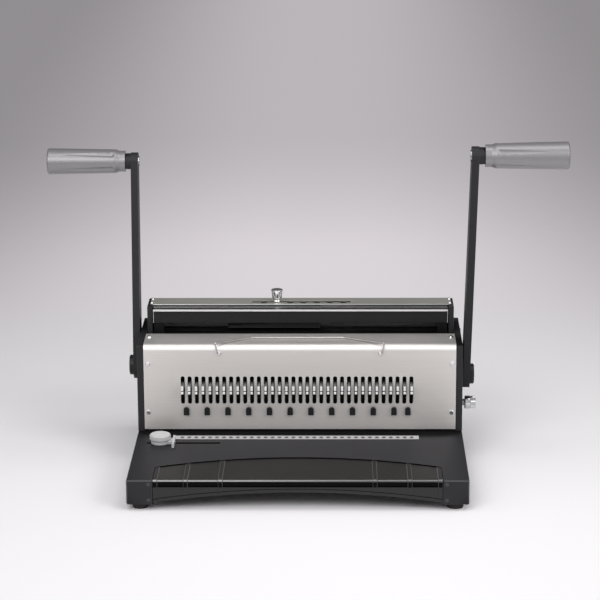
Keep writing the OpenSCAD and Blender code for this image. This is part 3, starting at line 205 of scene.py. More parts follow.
def mixed(tree, factor, first, second):
    made = add(tree, "ShaderNodeMix", data_type="RGBA")
    for place, value in ((0, factor), (6, first), (7, second)):
        feed(tree, made.inputs[place], value)
    return made.outputs[2]


grain, took, gave = effect(
    "fine_grain",
    [("Colour", COLOUR, (*grey(0.5), 1)), ("Fleck", COLOUR, (*grey(0.6), 1)), ("Fleck Amount", VALUE, 0.3),
     ("Roughness", VALUE, 0.5), ("Smudge", VALUE, 0.1), ("Scale", VALUE, 1000),
     ("Stretch", VECTOR, (1, 1, 1))],
    [("Colour", COLOUR), ("Roughness", VALUE), ("Height", VALUE)],
)
place = add(grain, "ShaderNodeTexCoord").outputs["Object"]
stretched = add(grain, "ShaderNodeVectorMath", operation="MULTIPLY")
grain.links.new(place, stretched.inputs[0])
grain.links.new(took["Stretch"], stretched.inputs[1])
fine = add(grain, "ShaderNodeTexNoise")
fine.inputs["Detail"].default_value = 3
grain.links.new(stretched.outputs[0], fine.inputs["Vector"])
grain.links.new(took["Scale"], fine.inputs["Scale"])
broad = add(grain, "ShaderNodeTexNoise")
broad.inputs["Scale"].default_value = 14
broad.inputs["Detail"].default_value = 4
grain.links.new(place, broad.inputs["Vector"])
fleck = number(grain, "MULTIPLY", spread(grain, fine.outputs[0], low=0.38, high=0.68), took["Fleck Amount"])
grain.links.new(mixed(grain, fleck, took["Colour"], took["Fleck"]), gave["Colour"])
smudge = number(grain, "MULTIPLY", number(grain, "SUBTRACT", broad.outputs[0], 0.5), took["Smudge"])
streak = number(grain, "MULTIPLY", number(grain, "SUBTRACT", fine.outputs[0], 0.5), took["Smudge"])
rough = number(grain, "ADD", number(grain, "ADD", took["Roughness"], smudge), streak, clamp=True)
grain.links.new(rough, gave["Roughness"])
grain.links.new(fine.outputs[0], gave["Height"])

# Edges found through the bevel normal are mixed towards a lighter tone: partly edge wear, partly a painted
# edge highlight.
edge_wear_and_highlight_group, took, gave = effect(
    "edge_wear_and_highlight",
    [("Colour", COLOUR, (*grey(0.5), 1)), ("Worn And Lit Edge", COLOUR, (*grey(0.4), 1)), ("Amount", VALUE, 0.2)],
    [("Colour", COLOUR)],
)
eased_normal = add(edge_wear_and_highlight_group, "ShaderNodeBevel", samples=4)
eased_normal.inputs["Radius"].default_value = 0.0012
turn = add(edge_wear_and_highlight_group, "ShaderNodeVectorMath", operation="DOT_PRODUCT")
edge_wear_and_highlight_group.links.new(eased_normal.outputs[0], turn.inputs[0])
edge_wear_and_highlight_group.links.new(add(edge_wear_and_highlight_group, "ShaderNodeNewGeometry").outputs["Normal"], turn.inputs[1])
edge = spread(edge_wear_and_highlight_group, turn.outputs["Value"], low=0.998, high=0.9)
edge_wear_and_highlight_mask = number(edge_wear_and_highlight_group, "MULTIPLY", edge, took["Amount"])
edge_wear_and_highlight_group.links.new(mixed(edge_wear_and_highlight_group, edge_wear_and_highlight_mask, took["Colour"], took["Worn And Lit Edge"]), gave["Colour"])

# Painted shade: up-facing surfaces close to other geometry are darkened towards black, standing in for shade
# in corners and under parts.
painted_shade_group, took, gave = effect(
    "painted_corner_shade",
    [("Colour", COLOUR, (*grey(0.5), 1)), ("Amount", VALUE, 0.9)],
    [("Colour", COLOUR), ("Mask", VALUE)],
)
hidden = add(painted_shade_group, "ShaderNodeAmbientOcclusion", samples=8)
hidden.inputs["Distance"].default_value = 0.042
facing = add(painted_shade_group, "ShaderNodeSeparateXYZ")
painted_shade_group.links.new(add(painted_shade_group, "ShaderNodeNewGeometry").outputs["Normal"], facing.inputs[0])
facing_up = spread(painted_shade_group, facing.outputs["Z"], low=0.5, high=0.9)
from_above = number(painted_shade_group, "MULTIPLY", facing_up, took["Amount"])
corner = number(painted_shade_group, "MULTIPLY", spread(painted_shade_group, hidden.outputs["AO"], low=0.97, high=0.74), from_above)
painted_shade_group.links.new(mixed(painted_shade_group, corner, took["Colour"], (*grey(0.002), 1)), gave["Colour"])
painted_shade_group.links.new(corner, gave["Mask"])


def finish(name, colour, fleck, rough, flecks=0.3, smudge=0.1, scale=1000, stretch=(1, 1, 1), bump=0.1,
           worn_and_lit_edge_tone=None, worn_and_lit_edge_amount=0.0, corners=0.0, **sockets):
    made = bpy.data.materials.new(name)
    made.use_nodes = True
    tree = made.node_tree
    shader = tree.nodes["Principled BSDF"]
    for label, value in sockets.items():
        shader.inputs[label.replace("_", " ")].default_value = value
    texture = add(tree, "ShaderNodeGroup", node_tree=grain)
    for label, value in (("Colour", (*colour, 1)), ("Fleck", (*fleck, 1)), ("Fleck Amount", flecks),
                         ("Roughness", rough), ("Smudge", smudge), ("Scale", scale), ("Stretch", stretch)):
        texture.inputs[label].default_value = value
    shade, dull = texture.outputs["Colour"], texture.outputs["Roughness"]
    if worn_and_lit_edge_tone:
        edge_wear_and_highlight_node = add(tree, "ShaderNodeGroup", node_tree=edge_wear_and_highlight_group)
        edge_wear_and_highlight_node.inputs["Worn And Lit Edge"].default_value = (*worn_and_lit_edge_tone, 1)
        edge_wear_and_highlight_node.inputs["Amount"].default_value = worn_and_lit_edge_amount
        tree.links.new(shade, edge_wear_and_highlight_node.inputs["Colour"])
        shade = edge_wear_and_highlight_node.outputs["Colour"]
    # Painted corner shade: surfaces facing up near other parts are darkened, and the same mask raises the
    # roughness.
    if corners:
        shaded = add(tree, "ShaderNodeGroup", node_tree=painted_shade_group, name="corner_shade")
        shaded.inputs["Amount"].default_value = corners
        tree.links.new(shade, shaded.inputs["Colour"])
        shade = shaded.outputs["Colour"]
        dull = number(tree, "MAXIMUM", dull, shaded.outputs["Mask"])
    tree.links.new(shade, shader.inputs["Base Color"])
    tree.links.new(dull, shader.inputs["Roughness"])
    if bump:
        raised = add(tree, "ShaderNodeBump")
        raised.inputs["Strength"].default_value = bump
        raised.inputs["Distance"].default_value = 0.0001
        tree.links.new(texture.outputs["Height"], raised.inputs["Height"])
        tree.links.new(raised.outputs[0], shader.inputs["Normal"])
    return made


def round_over(bm, ease, segments=2, from_angle=40, pick=None):
    sharp = [e for e in bm.edges if len(e.link_faces) == 2 and e.calc_face_angle() > math.radians(from_angle)
             and (pick is None or pick(*(v.co for v in e.verts)))]
    bmesh.ops.bevel(bm, geom=sharp, offset=ease, offset_type="OFFSET", segments=segments, profile=0.5,
                    affect="EDGES", clamp_overlap=True, material=-1)


def keep(bm, name, node, materials, flat_above=50):
    mesh = bpy.data.meshes.new(name)
    bm.to_mesh(mesh)
    bm.free()
    mesh.shade_smooth()
    mesh.set_sharp_from_angle(angle=math.radians(flat_above))
    for material in materials:
        mesh.materials.append(material)
    piece = bpy.data.objects.new(name, mesh)
    bpy.context.scene.collection.objects.link(piece)
    even = piece.modifiers.new("even_shading", "WEIGHTED_NORMAL")
    even.keep_sharp = True
    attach(piece, body_of[node])
    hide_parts(node)
    return piece


def merged_copy(node):
    bm = bmesh.new()
    bm.from_mesh(nodes[node].data)
    bmesh.ops.remove_doubles(bm, verts=bm.verts, dist=0.000002)
    bmesh.ops.dissolve_limit(bm, angle_limit=math.radians(0.5), verts=bm.verts, edges=bm.edges)
    return bm


def eased_copy(node, material, ease, segments=2, pick=None):
    bm = merged_copy(node)
    round_over(bm, ease, segments, pick=pick)
    return keep(bm, node + "_eased", node, [material])


def dress(node, material):
    nodes[node].data.materials.clear()
    nodes[node].data.materials.append(material)


def paint(piece, material, test):
    piece.data.materials.append(material)
    for face in piece.data.polygons:
        if test(face.normal, face.center):
            face.material_index = len(piece.data.materials) - 1


def upright(normal):
    return abs(normal.z) < 0.5


table_z, base_x, base_y, touch = 0.0373, 0.1988, 0.160, 1e-5
front_strip_y, wall_low = -0.15, 0.03
opening_x, opening_back = 0.1695, -0.07
slot_x, slot_front, slot_back = 0.19, -0.03, -0.016


def outer_fold(a, b):
    def outside(p):
        return abs(abs(p.x) - base_x) < touch, abs(abs(p.y) - base_y) < touch, abs(p.z - table_z) < touch
    return sum(x and y for x, y in zip(outside(a), outside(b))) > 1


def front_fold(normal, at):
    return sorted(map(abs, normal))[1] > 0.2 and at.y < front_strip_y


def drawer_opening(normal, at):
    return abs(at.x) < opening_x and at.y < opening_back and upright(normal) and at.z > wall_low


def guide_slot(normal, at):
    return slot_front < at.y < slot_back and upright(normal) and at.z > wall_low and abs(at.x) < slot_x


# Both coats carry painted shade in corners, where the occlusion mask darkens the colour.
powder_coat = finish("powder_coat", (0.021, 0.021, 0.0225), (0.032, 0.032, 0.034), rough=0.5, smudge=0.06,
                     scale=1300, bump=0.22, worn_and_lit_edge_tone=(0.1, 0.1, 0.105), worn_and_lit_edge_amount=0.25, corners=0.97,
                     Specular_IOR_Level=0.22)
table_coat = finish("table_coat", (0.0255, 0.0248, 0.0275), (0.037, 0.036, 0.04), rough=0.5, smudge=0.06,
                    scale=1300, bump=0.22, worn_and_lit_edge_tone=(0.1, 0.1, 0.105), worn_and_lit_edge_amount=0.5, corners=1.0,
                    Specular_IOR_Level=0.1)
# Painted shadow: the corner shade on the table acts only in the strip in front of the panel, standing in for
# the panel's shadow.
tree = table_coat.node_tree
panel_shadow_strip = spread(tree, axes(tree, "Object")["Y"], low=-0.014, high=0.004)
tree.links.new(panel_shadow_strip, tree.nodes["corner_shade"].inputs["Amount"])
# A lighter, glossier coat: painted on the shell's front folds as a painted highlight, and also the coat of
# the stop slide.
light_coat_and_fold_highlight = finish("light_coat_and_fold_highlight", (0.05, 0.05, 0.054), (0.06, 0.06, 0.064), rough=0.4, smudge=0.04,
                   scale=1300, Specular_IOR_Level=0.35)
# Near black painted onto gap walls as painted shade.
gap_shade_black = finish("gap_shade_black", grey(0.002), grey(0.004), rough=0.6, smudge=0.05, scale=900, bump=0.0,
                    Specular_IOR_Level=0.05)
shell = eased_copy("base_shell", table_coat, ease=0.0016, segments=3, pick=outer_fold)
# The front folds are painted lighter as a painted highlight.
paint(shell, light_coat_and_fold_highlight, front_fold)
# The walls of the drawer opening and of the guide slot are painted near black as painted shade in the gaps.
paint(shell, gap_shade_black, drawer_opening)
paint(shell, gap_shade_black, guide_slot)

# Bottom plate, feet and corner screws
# A steel plate closes the base from below, four rubber feet are pressed into it, and two small dark
# screws hold each front corner of the shell.
dress("base_plate", table_coat)
rubber = finish("foot_rubber", grey(0.012), grey(0.022), rough=0.75, flecks=0.4, scale=900, bump=0.3)
dress("rubber_feet", rubber)
dark_nickel = finish("dark_nickel", (0.031, 0.031, 0.033), (0.044, 0.044, 0.046), rough=0.36, smudge=0.05,
                     scale=700, bump=0.0)
dress("corner_screws", dark_nickel)

# Chip drawer
# One black moulding: a flush top with a curved back edge, a rounded nose, a sunk gloss band painted near
# black as the shade of its recess, and a fine grained apron with an arched lower edge and a crease painted
# dark as shade. Three ribs a side stand up from it, their sides painted lighter as highlight lines. The tray
# behind is plain.
drawer_x, drawer_r, corner_r = 0.1678, 0.41999, 0.008
drawer_mid_y = -0.077
arc_y = drawer_mid_y - drawer_r
corner_x = drawer_x - corner_r
corner_y = arc_y + math.sqrt((drawer_r - corner_r) ** 2 - corner_x ** 2)
meet_x = corner_x * drawer_r / (drawer_r - corner_r)
arch_mid, arch_end, base_z = 0.014, 0.0016, 0.008
arch_r = (drawer_x ** 2 + (arch_mid - arch_end) ** 2) / (2 * (arch_mid - arch_end))
rib_x, rib_half, rib_h, rib_slope = (0.0896, 0.130, 0.1653), 0.0025, 0.0006, 0.0004
wall_y, wall_t, nose_r, band_d, band_z, band_slope = -0.1594, 0.002, 0.002, 0.002, 0.0292, 0.0005
return_d, lip_back, lip_front = 0.004, 0.0009, 0.0003
crease, crease_d, crease_below, crease_above = 0.0045, 0.0012, 0.0007, 0.0005
sink, rim, rim_depth = 0.001, 0.0004, 0.003
column_pitch, corner_step = 0.168 / 60, 0.157


def back_edge(x):
    if abs(x) < meet_x:
        return arc_y + math.sqrt(drawer_r ** 2 - x * x)
    return corner_y + math.sqrt(max(corner_r ** 2 - (abs(x) - corner_x) ** 2, 0))


def lower_edge(x):
    return base_z + arch_mid - arch_r + math.sqrt(arch_r ** 2 - x * x)


def moulding_line(x, proud):
    low = lower_edge(x)
    sunk = band_d if proud == 0 else 0
    front, bend_r = wall_y - proud, nose_r + proud
    apron = [(wall_y + return_d, low), (front + lip_back, low),
             (front + lip_front, low + crease - crease_below), (front + crease_d, low + crease),
             (front, low + crease + crease_above)]
    band = [(front, band_z - band_slope), (front + sunk, band_z), (front + sunk, table_z - nose_r)]
    nose = [(wall_y + nose_r - bend_r * math.cos(a), table_z - nose_r + bend_r * math.sin(a))
            for a in (math.radians(15 * i) for i in range(7))]
    back = [(back_edge(x) - rim, table_z + proud - sink), (back_edge(x), table_z - sink - rim),
            (back_edge(x), table_z - rim_depth)]
    return apron + band + nose + back


straight_columns = [column_pitch * i for i in range(59)]
corner_columns = [corner_x + corner_r * math.sin(corner_step * i) for i in range(11)]
columns = list({side * x for x in straight_columns + corner_columns for side in (-1, 1)})
for middle in rib_x:
    for end in (middle - rib_half, middle + rib_half):
        foot_and_crest = [x for x in (end - rib_slope, end + rib_slope) if abs(x) < drawer_x]
        columns += [side * x for side in (-1, 1) for x in foot_and_crest]
columns = sorted(columns)
rows = len(moulding_line(0, 0))
bm = bmesh.new()
bmesh.ops.create_grid(bm, x_segments=len(columns) - 1, y_segments=rows - 1, size=1)
row_of = {face: int((face.calc_center_median().y + 1) / 2 * (rows - 1)) for face in bm.faces}
for vert in bm.verts:
    x = columns[round((vert.co.x + 1) / 2 * (len(columns) - 1))]
    proud = rib_h if any(abs(abs(x) - middle) < rib_half for middle in rib_x) else 0
    y, z = moulding_line(x, proud)[round((vert.co.y + 1) / 2 * (rows - 1))]
    vert.co = (x, y, z)
APRON, BAND, NOSE, SKIN, RIB = range(5)
crease_row, apron_row, nose_row, skin_row = 3, 4, 7, rows - 4
# Painted light: the crease row takes the darker skin colour as painted shade, rib sides a lighter colour as
# painted highlight lines, the sunk band near black as painted shade.
for face, row in row_of.items():
    across = abs(face.calc_center_median().x)
    rib_side = min(abs(abs(across - middle) - rib_half) for middle in rib_x) < rib_slope / 2
    if row == crease_row:
        face.material_index = SKIN
    elif row <= apron_row:
        face.material_index = APRON
    elif rib_side:
        face.material_index = RIB
    else:
        face.material_index = BAND if row < nose_row else NOSE if row < skin_row else SKIN
bmesh.ops.recalc_face_normals(bm, faces=bm.faces)
apron_black = finish("grained_black", grey(0.018), grey(0.03), rough=0.5, flecks=0.4, smudge=0.08,
                     scale=1600, bump=0.3, Specular_IOR_Level=0.3)
band_shade_black = finish("band_shade_black", grey(0.0015), grey(0.003), rough=0.3, smudge=0.05, scale=900, bump=0.02,
                    Specular_IOR_Level=0.06)
nose_black = finish("nose_black", grey(0.02), grey(0.026), rough=0.14, smudge=0.04, scale=900, bump=0.02,
                    Specular_IOR_Level=0.8, Coat_Weight=1.0, Coat_Roughness=0.1, Coat_IOR=2.1)
skin_and_crease_shade_black = finish("skin_and_crease_shade_black", (0.0068, 0.0066, 0.0066), (0.0118, 0.0114, 0.0114), rough=0.4,
                    smudge=0.06, scale=1500, Specular_IOR_Level=0.1)
rib_side_highlight = finish("rib_side_highlight", (0.07, 0.068, 0.066), (0.085, 0.083, 0.08), rough=0.34, smudge=0.06,
                   scale=1500, Specular_IOR_Level=0.3)
blacks = [apron_black, band_shade_black, nose_black, skin_and_crease_shade_black, rib_side_highlight]
moulding = keep(bm, "drawer_moulding", "drawer_front", blacks, flat_above=35)
wall = moulding.modifiers.new("wall", "SOLIDIFY")
wall.thickness = wall_t
wall.offset = -1
zinc_plate = finish("zinc_plate", grey(0.5), (0.62, 0.62, 0.6), rough=0.34, flecks=0.4, smudge=0.2,
                    scale=500, Metallic=1.0)
dress("drawer_runners", zinc_plate)
tray_black = finish("tray_black", (0.02, 0.02, 0.021), (0.03, 0.03, 0.031), rough=0.6, scale=1200)
dress("chip_tray", tray_black)

# Ruler
# A thin aluminium strip, printed white and let into the table in front of the panel.
# It has one dark oval mark for each punched hole.
hole_count, hole_pitch, first_hole = 34, 0.0084667, -0.1431
mark_y, mark_half_x, mark_half_y, mark_ink = -0.0012, 0.0025, 0.0037, (0.035, 0.035, 0.036)
white_strip = finish("white_strip", (0.45, 0.445, 0.45), (0.5, 0.495, 0.5), rough=0.4, flecks=0.4,
                     smudge=0.08, scale=700, bump=0.05)
tree = white_strip.node_tree
shader = tree.nodes["Principled BSDF"]
on_strip = axes(tree, "Object")
along = number(tree, "DIVIDE", number(tree, "SUBTRACT", on_strip["X"], first_hole), hole_pitch)
from_hole = number(tree, "SUBTRACT", along, number(tree, "ROUND", along))
off_x = number(tree, "MULTIPLY", from_hole, hole_pitch / mark_half_x)
off_y = number(tree, "DIVIDE", number(tree, "SUBTRACT", on_strip["Y"], mark_y), mark_half_y)
oval = number(tree, "ADD", number(tree, "MULTIPLY", off_x, off_x), number(tree, "MULTIPLY", off_y, off_y))
from_middle = number(tree, "ABSOLUTE", number(tree, "SUBTRACT", along, (hole_count - 1) / 2))
in_row = number(tree, "LESS_THAN", from_middle, hole_count / 2)
ink = number(tree, "MULTIPLY", spread(tree, oval, low=1.15, high=0.85), in_row)
white = shader.inputs["Base Color"].links[0].from_socket
tree.links.new(mixed(tree, ink, white, (*mark_ink, 1)), shader.inputs["Base Color"])
dress("ruler_strip", white_strip)

# Margin guide
# A light grey moulded stop on a round foot, clamped in the table's slot by a thumb knob on a stud.
# The knob's rim is lightly rippled. A turned outline is a list of places along the axis with radii.
pale_plastic = finish("pale_plastic", (0.5, 0.495, 0.5), (0.56, 0.555, 0.56), rough=0.32, smudge=0.08,
                      scale=900, bump=0.08)
eased_copy("margin_fence", pale_plastic, ease=0.0005)
dress("margin_stud", zinc_plate)


def turned(line, steps, axis):
    along = Vector((1, 0, 0)) if axis == "X" else Vector((0, 0, 1))
    out = Vector((0, 0, 1)) if axis == "X" else Vector((1, 0, 0))
    bm = bmesh.new()
    verts = [bm.verts.new(along * a + out * r) for a, r in line]
    edges = [bm.edges.new(pair) for pair in zip(verts, verts[1:])]
    bmesh.ops.spin(bm, geom=verts + edges, cent=(0, 0, 0), axis=along, angle=2 * math.pi, steps=steps,
                   use_merge=True)
    bmesh.ops.remove_doubles(bm, verts=bm.verts, dist=0.000001)
    bmesh.ops.recalc_face_normals(bm, faces=bm.faces)
    return bm


def rippled(out, count, depth):
    return out * (1 - depth * (0.5 + 0.5 * math.cos(count * math.atan2(out.y, out.x))))


thumb_r, thumb_h, bore_h, bore_r = 0.01285, 0.0074, 0.005, 0.00256
thumb_ease, thumb_slope, thumb_crown, rim_w = 0.001, 0.0012, 0.0003, 0.0004
thumb_place = (-0.1684, -0.023, 0.0419)
bm = turned([(bore_h, 0), (bore_h, bore_r), (0, bore_r), (0, thumb_r - thumb_ease), (thumb_slope, thumb_r),
             (thumb_h - thumb_slope, thumb_r), (thumb_h, thumb_r - 2 * thumb_ease),
             (thumb_h + thumb_crown, 0)], steps=120, axis="Z")
round_over(bm, ease=0.0006, segments=3, from_angle=25)
for vert in bm.verts:
    if vert.co.xy.length > thumb_r - rim_w:
        vert.co.xy = rippled(vert.co.xy, count=20, depth=0.012)
bmesh.ops.translate(bm, verts=bm.verts, vec=thumb_place)
keep(bm, "margin_thumb_knob", "margin_knob", [pale_plastic], flat_above=40)

# Side frames
# Two thick plates that stand on the table and carry both shafts, bolted from below and held apart by
# two round tie bars with cap screws.


def longer_than(length):
    return lambda a, b: (a - b).length > length


for side in ("left", "right"):
    eased_copy("side_frame_" + side, powder_coat, ease=0.0007, pick=longer_than(0.007))
dress("frame_bolts", zinc_plate)
ground_steel = finish("ground_steel", (0.4, 0.4, 0.41), grey(0.5), rough=0.4, flecks=0.5, smudge=0.2,
                      scale=900, stretch=(0.06, 1, 1), Metallic=1.0)
dress("tie_bars", ground_steel)
black_oxide = finish("black_oxide", (0.012, 0.012, 0.013), (0.024, 0.024, 0.025), rough=0.36, smudge=0.12,
                     scale=700, worn_and_lit_edge_tone=grey(0.08), worn_and_lit_edge_amount=0.3, Specular_IOR_Level=0.3)
dress("tie_screws", black_oxide)

# Punching tool and its drive
# Steel blocks hidden behind the panel: die, guide, ram and racks, with a shaft in bushes. The ram and
# its pins are what shows through the slots, the ram blackened, the pins chromed, with their front tips
# painted near white as a painted highlight, their tops painted satin grey so they read lighter in the shade,
# and a narrow band behind the tip painted black.
tip_end, groove_end = 0.0006, 0.0012


def pin_tip(normal, at):
    return normal.y < -0.3 and at.y < pin_front + tip_end


def pin_top(normal, at):
    return normal.z > 0.4 and at.y > pin_front + groove_end


def pin_groove(normal, at):
    return pin_front + tip_end < at.y < pin_front + groove_end


# Soot black for the blackened parts, also painted onto slot walls as painted shade.
soot_black_and_slot_shade = finish("soot_black_and_slot_shade", grey(0.004), grey(0.008), rough=0.5, scale=700, Specular_IOR_Level=0.2)
for node in ("throat_spacers", "punch_guide", "punches", "ram_racks", "ram_guides", "punch_ram"):
    dress(node, soot_black_and_slot_shade)
for node in ("die_plate", "punch_shaft", "punch_pinions"):
    dress(node, ground_steel)
dress("die_bolts", zinc_plate)
bright_chrome = finish("bright_chrome", (0.72, 0.72, 0.74), (0.78, 0.78, 0.8), rough=0.12, flecks=0.2,
                       smudge=0.08, scale=300, bump=0.02, Metallic=1.0)
pin_tip_highlight = finish("pin_tip_highlight", (0.95, 0.95, 0.94), (0.97, 0.97, 0.96), rough=0.4, smudge=0.04,
                      scale=700, bump=0.0, Metallic=0.4)
pin_top_lightened = finish("pin_top_lightened", (0.34, 0.34, 0.33), (0.38, 0.38, 0.37), rough=0.3, smudge=0.05, scale=700,
                   bump=0.0, Metallic=0.6)
pin_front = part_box("pull_pins")[0][1]
pins = eased_copy("pull_pins", bright_chrome, ease=0.0004)
# Painted light on the pins: front tips near white as a highlight, tops a satin grey that reads lighter in
# the shade behind the panel, a narrow band behind the tip black.
paint(pins, pin_tip_highlight, pin_tip)
paint(pins, pin_top_lightened, pin_top)
paint(pins, soot_black_and_slot_shade, pin_groove)
dark_bronze = finish("dark_bronze", (0.09, 0.075, 0.055), (0.14, 0.12, 0.09), rough=0.42, flecks=0.4,
                     smudge=0.2, scale=700, Metallic=1.0)
dress("punch_bushes", dark_bronze)
dress("closing_bushes", dark_bronze)

# Front panel
# Folded stainless sheet, brushed along its length, with a row of slots and chromed screws. Small black
# hooks for the wire comb stand on it below the slots.
stainless = finish("brushed_stainless", (0.79, 0.763, 0.737), (0.84, 0.813, 0.787), rough=0.52, flecks=0.4,
                   smudge=0.07, scale=900, stretch=(0.02, 1, 1), bump=0.03, Metallic=0.94)
dress("front_panel", stainless)
dress("panel_screws", bright_chrome)
eased_copy("wire_hooks", black_oxide, ease=0.0003)

# Wire bail
# A springy chromed wire, bent by hand round a former, with a straight bar that lies over the panel.
# Its two feet turn in small clips on the panel's front, just under the bend.
foot = [(0.0956, 0.0216, 0.1377), (0.1008, 0.0216, 0.1377), (0.1031, 0.0216, 0.1505)]
bar = [(0.0539, 0.052, 0.1488), (-0.0581, 0.052, 0.1488)]
wire_r, bend_l, bend_pull, clip_front = 0.001, 0.002, 0.6, 0.0205
corners = [Vector(p) for p in foot + bar + [(-x, y, z) for x, y, z in reversed(foot)]]
bends = [corners[0]]
for before, point, after in zip(corners, corners[1:], corners[2:]):
    start = point + (before - point).normalized() * bend_l
    end = point + (after - point).normalized() * bend_l
    bends += interpolate_bezier(start, start.lerp(point, bend_pull), end.lerp(point, bend_pull), end, 8)
bends.append(corners[-1])
wire = bpy.data.curves.new("bail_wire", "CURVE")
wire.dimensions = "3D"
wire.bevel_depth = wire_r
wire.bevel_resolution = 5
wire.use_fill_caps = True
line = wire.splines.new("POLY")
line.points.add(len(bends) - 1)
for point, bend in zip(line.points, bends):
    point.co = (*bend, 1)
spring_wire = finish("spring_wire", (0.52, 0.51, 0.5), (0.56, 0.55, 0.54), rough=0.16, smudge=0.06,
                     scale=600, bump=0.0, Metallic=1.0)
wire.materials.append(spring_wire)
bail = bpy.data.objects.new("bail_wire", wire)
bpy.context.scene.collection.objects.link(bail)
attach(bail, body_of["wire_bail"])
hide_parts("wire_bail")
eased_copy("bail_clips", bright_chrome, ease=0.0006, segments=3,
           pick=lambda a, b: min(a.y, b.y) < clip_front)

# Wire closer
# A black press bar with a polished plate slides between two brackets over a black anvil. A brushed
# cover plate with a notched slot closes it from above, and the plate's front edge is bare steel.
cover_front, notch_front, notch_back, notch_x = 0.107, 0.108, 0.135, 0.12


def slanted_end(normal, at):
    return 0.3 < abs(normal.x) < 0.95 and normal.y < -0.3


def faces_front(normal, at):
    return normal.y < -0.6


def cover_edge(normal, at):
    return faces_front(normal, at) and at.y < cover_front


def notched_slot(normal, at):
    return upright(normal) and notch_front < at.y < notch_back and abs(at.x) < notch_x


for side in ("left", "right"):
    eased_copy("bracket_" + side, powder_coat, ease=0.0006, pick=longer_than(0.007))
dress("anvil", soot_black_and_slot_shade)
bar_black = finish("bar_black", (0.012, 0.012, 0.0127), (0.018, 0.018, 0.019), rough=0.42, smudge=0.08,
                   scale=900, Specular_IOR_Level=0.2)
bare_steel = finish("bare_steel", grey(0.78), grey(0.82), rough=0.3, smudge=0.04, scale=900,
                    stretch=(0.05, 1, 1), bump=0.0, Metallic=1.0)
press_bar = eased_copy("press_bar", bar_black, ease=0.0007)
paint(press_bar, bare_steel, slanted_end)
dark_chrome = finish("dark_chrome", (0.1, 0.1, 0.104), (0.11, 0.11, 0.114), rough=0.2, smudge=0.02,
                     scale=300, bump=0.0, Metallic=1.0)
press_plate = eased_copy("press_plate", dark_chrome, ease=0.0003)
paint(press_plate, bare_steel, faces_front)
for node in ("closing_shaft", "closing_pinions"):
    dress(node, ground_steel)
dress("press_racks", soot_black_and_slot_shade)
dress("stop_slide", light_coat_and_fold_highlight)
olive_stainless = finish("olive_stainless", (0.78, 0.76, 0.69), (0.83, 0.81, 0.74), rough=0.5, flecks=0.5,
                         scale=900, stretch=(0.02, 1, 1), bump=0.03, Metallic=1.0)
cover = eased_copy("closer_cover", olive_stainless, ease=0.0003, pick=longer_than(0.02))
paint(cover, bare_steel, cover_edge)
# The walls of the cover's notched slot are painted black as painted shade in the gap.
paint(cover, soot_black_and_slot_shade, notched_slot)
dress("cover_screws", zinc_plate)

# Selector knob
# A turned, chromed knob with a flat cap over a narrow waist.
# It stands in one notch of the cover, and its stem reaches down to the stop slide.
knob_seat = 0.0018


def centre(low, high):
    return [(a + b) / 2 for a, b in zip(low, high)]


spigot = [(-0.0015, 0), (-0.0015, 0.0025), (0, 0.0025), (0, 0.0050), (0.0020, 0.0050)]
waist = [(0.0026, 0.0045), (0.0046, 0.0045), (0.0052, 0.0058), (0.0060, 0.0062)]
cap = [(0.0110, 0.0068), (0.0145, 0.0074), (0.0156, 0.0073), (0.0160, 0.0064), (0.0155, 0)]
bm = turned(spigot + waist + cap, steps=72, axis="Z")
round_over(bm, ease=0.0004, segments=3, from_angle=30)
low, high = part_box("selector_knob")
bmesh.ops.translate(bm, verts=bm.verts, vec=(*centre(low, high)[:2], low[2] + knob_seat))
keep(bm, "selector_turned_knob", "selector_knob", [bright_chrome], flat_above=40)

# Levers
# Two flat steel bars with rounded ends and black caps over their hubs, powder coated like the frame.
# Each carries a steel axle for its grip.
for lever in ("punch", "closing"):
    eased_copy(lever + "_lever", powder_coat, ease=0.0007)
    dress(lever + "_hub_cap", black_oxide)
    dress(lever + "_grip_axle", zinc_plate)

# Grips
# Moulded grips in satin silver-grey plastic that turn on the axles, with a plain neck and five flutes
# that run out towards the thicker end.
silver_grip = finish("silver_grip", (0.25, 0.24, 0.254), (0.29, 0.28, 0.294), rough=0.4, flecks=0.4,
                     smudge=0.02, scale=1500, bump=0.0, Metallic=0.45, Specular_IOR_Level=0.6,
                     Coat_Weight=0.3, Coat_Roughness=0.25)
neck_r, small_r, big_r, neck_l, grip_l = 0.0130, 0.0147, 0.0162, 0.0115, 0.0964
axle_bore_l, axle_bore_r = 0.0877, 0.00506
shoulder_at, shoulder_l, taper_l = 0.0065, 0.0065, 0.0817
end_round = ((0.0011, 0.0004), (0.0004, 0.0011), (0, 0.0022))
flute_gap, flute_l, flute_r, flute_deep, flute_nose = 0.0008, 0.068, 0.005, 0.002, 0.003
flute_turn, skin_margin = 2 * math.pi / 5, 0.0005


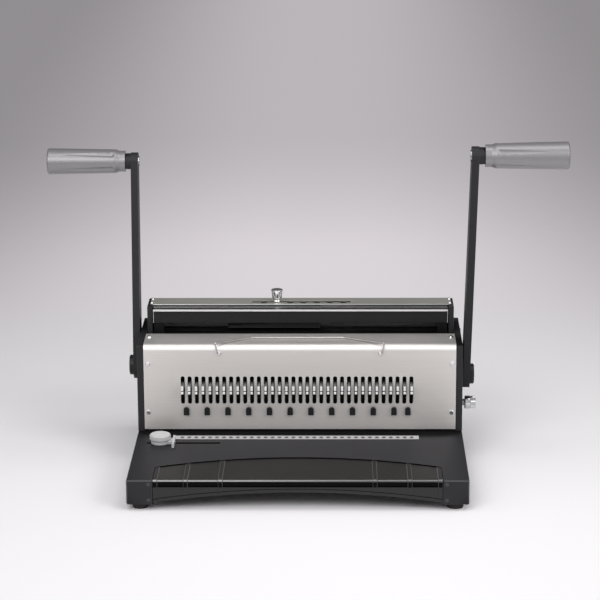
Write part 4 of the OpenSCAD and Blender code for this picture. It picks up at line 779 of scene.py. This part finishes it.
def fluted_grip(node, name, side, first_flute):
    low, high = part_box(node)
    bore = [(axle_bore_l, 0), (axle_bore_l, axle_bore_r), (0, axle_bore_r), (0, neck_r)]
    shoulder = [(shoulder_at + shoulder_l * t, neck_r + (small_r - neck_r) * (3 - 2 * t) * t ** 2)
                for t in (i / 8 for i in range(9))]
    taper = [(shoulder_at + shoulder_l + taper_l * t, small_r + (big_r - small_r) * t)
             for t in ((i + 1) / 48 for i in range(48))]
    end = [(grip_l - back, big_r - inset) for back, inset in end_round] + [(grip_l, 0)]
    bm = turned(bore + shoulder + taper + end, steps=180, axis="X")
    axis_r = small_r - flute_deep + flute_r
    end_r = axis_r - (small_r + (big_r - small_r) * flute_l / (grip_l - neck_l))
    for vert in bm.verts:
        out = vert.co.yz
        s = (vert.co.x - neck_l - flute_gap) / flute_l
        if not 0 < s < 1 or out.length < small_r - skin_margin:
            continue
        cutter = (flute_r + (end_r - flute_r) * s) * min(1, math.sqrt(s * flute_l / flute_nose))
        angle = (math.atan2(out.y, -out.x) - first_flute) % flute_turn
        angle = min(angle, flute_turn - angle)
        if axis_r * math.sin(angle) < cutter:
            reach = axis_r * math.cos(angle) - math.sqrt(cutter ** 2 - (axis_r * math.sin(angle)) ** 2)
            if reach < out.length:
                vert.co.yz = out * (reach / out.length)
    if side < 0:
        bmesh.ops.scale(bm, verts=bm.verts, vec=(-1, 1, 1))
        bmesh.ops.recalc_face_normals(bm, faces=bm.faces)
    inner = low[0] if side > 0 else high[0]
    bmesh.ops.translate(bm, verts=bm.verts, vec=(inner, *centre(low, high)[1:]))
    keep(bm, name, node, [silver_grip], flat_above=40)


fluted_grip("punch_grip", "punch_grip_fluted", side=1, first_flute=math.radians(27))
fluted_grip("closing_grip", "closing_grip_fluted", side=-1, first_flute=math.radians(43))

# Depth knob
# A turned, chromed knob with a plain flange and a knurled end, on a spindle with pinions that move the
# paper stop behind the punches.
flange_r, knurl_r, knurl_at, knurl_l, depth_knob_l = 0.00815, 0.0076, 0.0076, 0.0058, 0.0137
knurl_from, knurl_to, knurl_core = 0.0075, 0.0135, 0.007
flange = [(0.0005, 0), (0, 0.004), (0, 0.0072), (0.001, flange_r), (0.0064, flange_r), (0.0074, 0.0072)]
knurled = [(knurl_at + knurl_l * i / 8, knurl_r) for i in range(9)]
bm = turned(flange + knurled + [(depth_knob_l, 0.0068), (depth_knob_l, 0)], steps=160, axis="X")
for vert in bm.verts:
    if knurl_from < vert.co.x < knurl_to and vert.co.yz.length > knurl_core:
        vert.co.yz = rippled(vert.co.yz, count=40, depth=0.035)
low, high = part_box("depth_knob")
bmesh.ops.translate(bm, verts=bm.verts, vec=(low[0], *centre(low, high)[1:]))
keep(bm, "depth_turned_knob", "depth_knob", [bright_chrome], flat_above=40)
for node in ("depth_spindle", "depth_pinions", "depth_stop"):
    dress(node, ground_steel)

# Rear cover
# A folded sheet that closes the back behind the side frames, powder coated black outside and only
# primed in pale grey inside.
grey_primer = finish("grey_primer", (0.62, 0.61, 0.64), (0.66, 0.65, 0.68), rough=0.7, flecks=0.4,
                     smudge=0.06, scale=900)
rear = eased_copy("rear_cover", powder_coat, ease=0.0007, pick=longer_than(0.02))
paint(rear, grey_primer, faces_front)
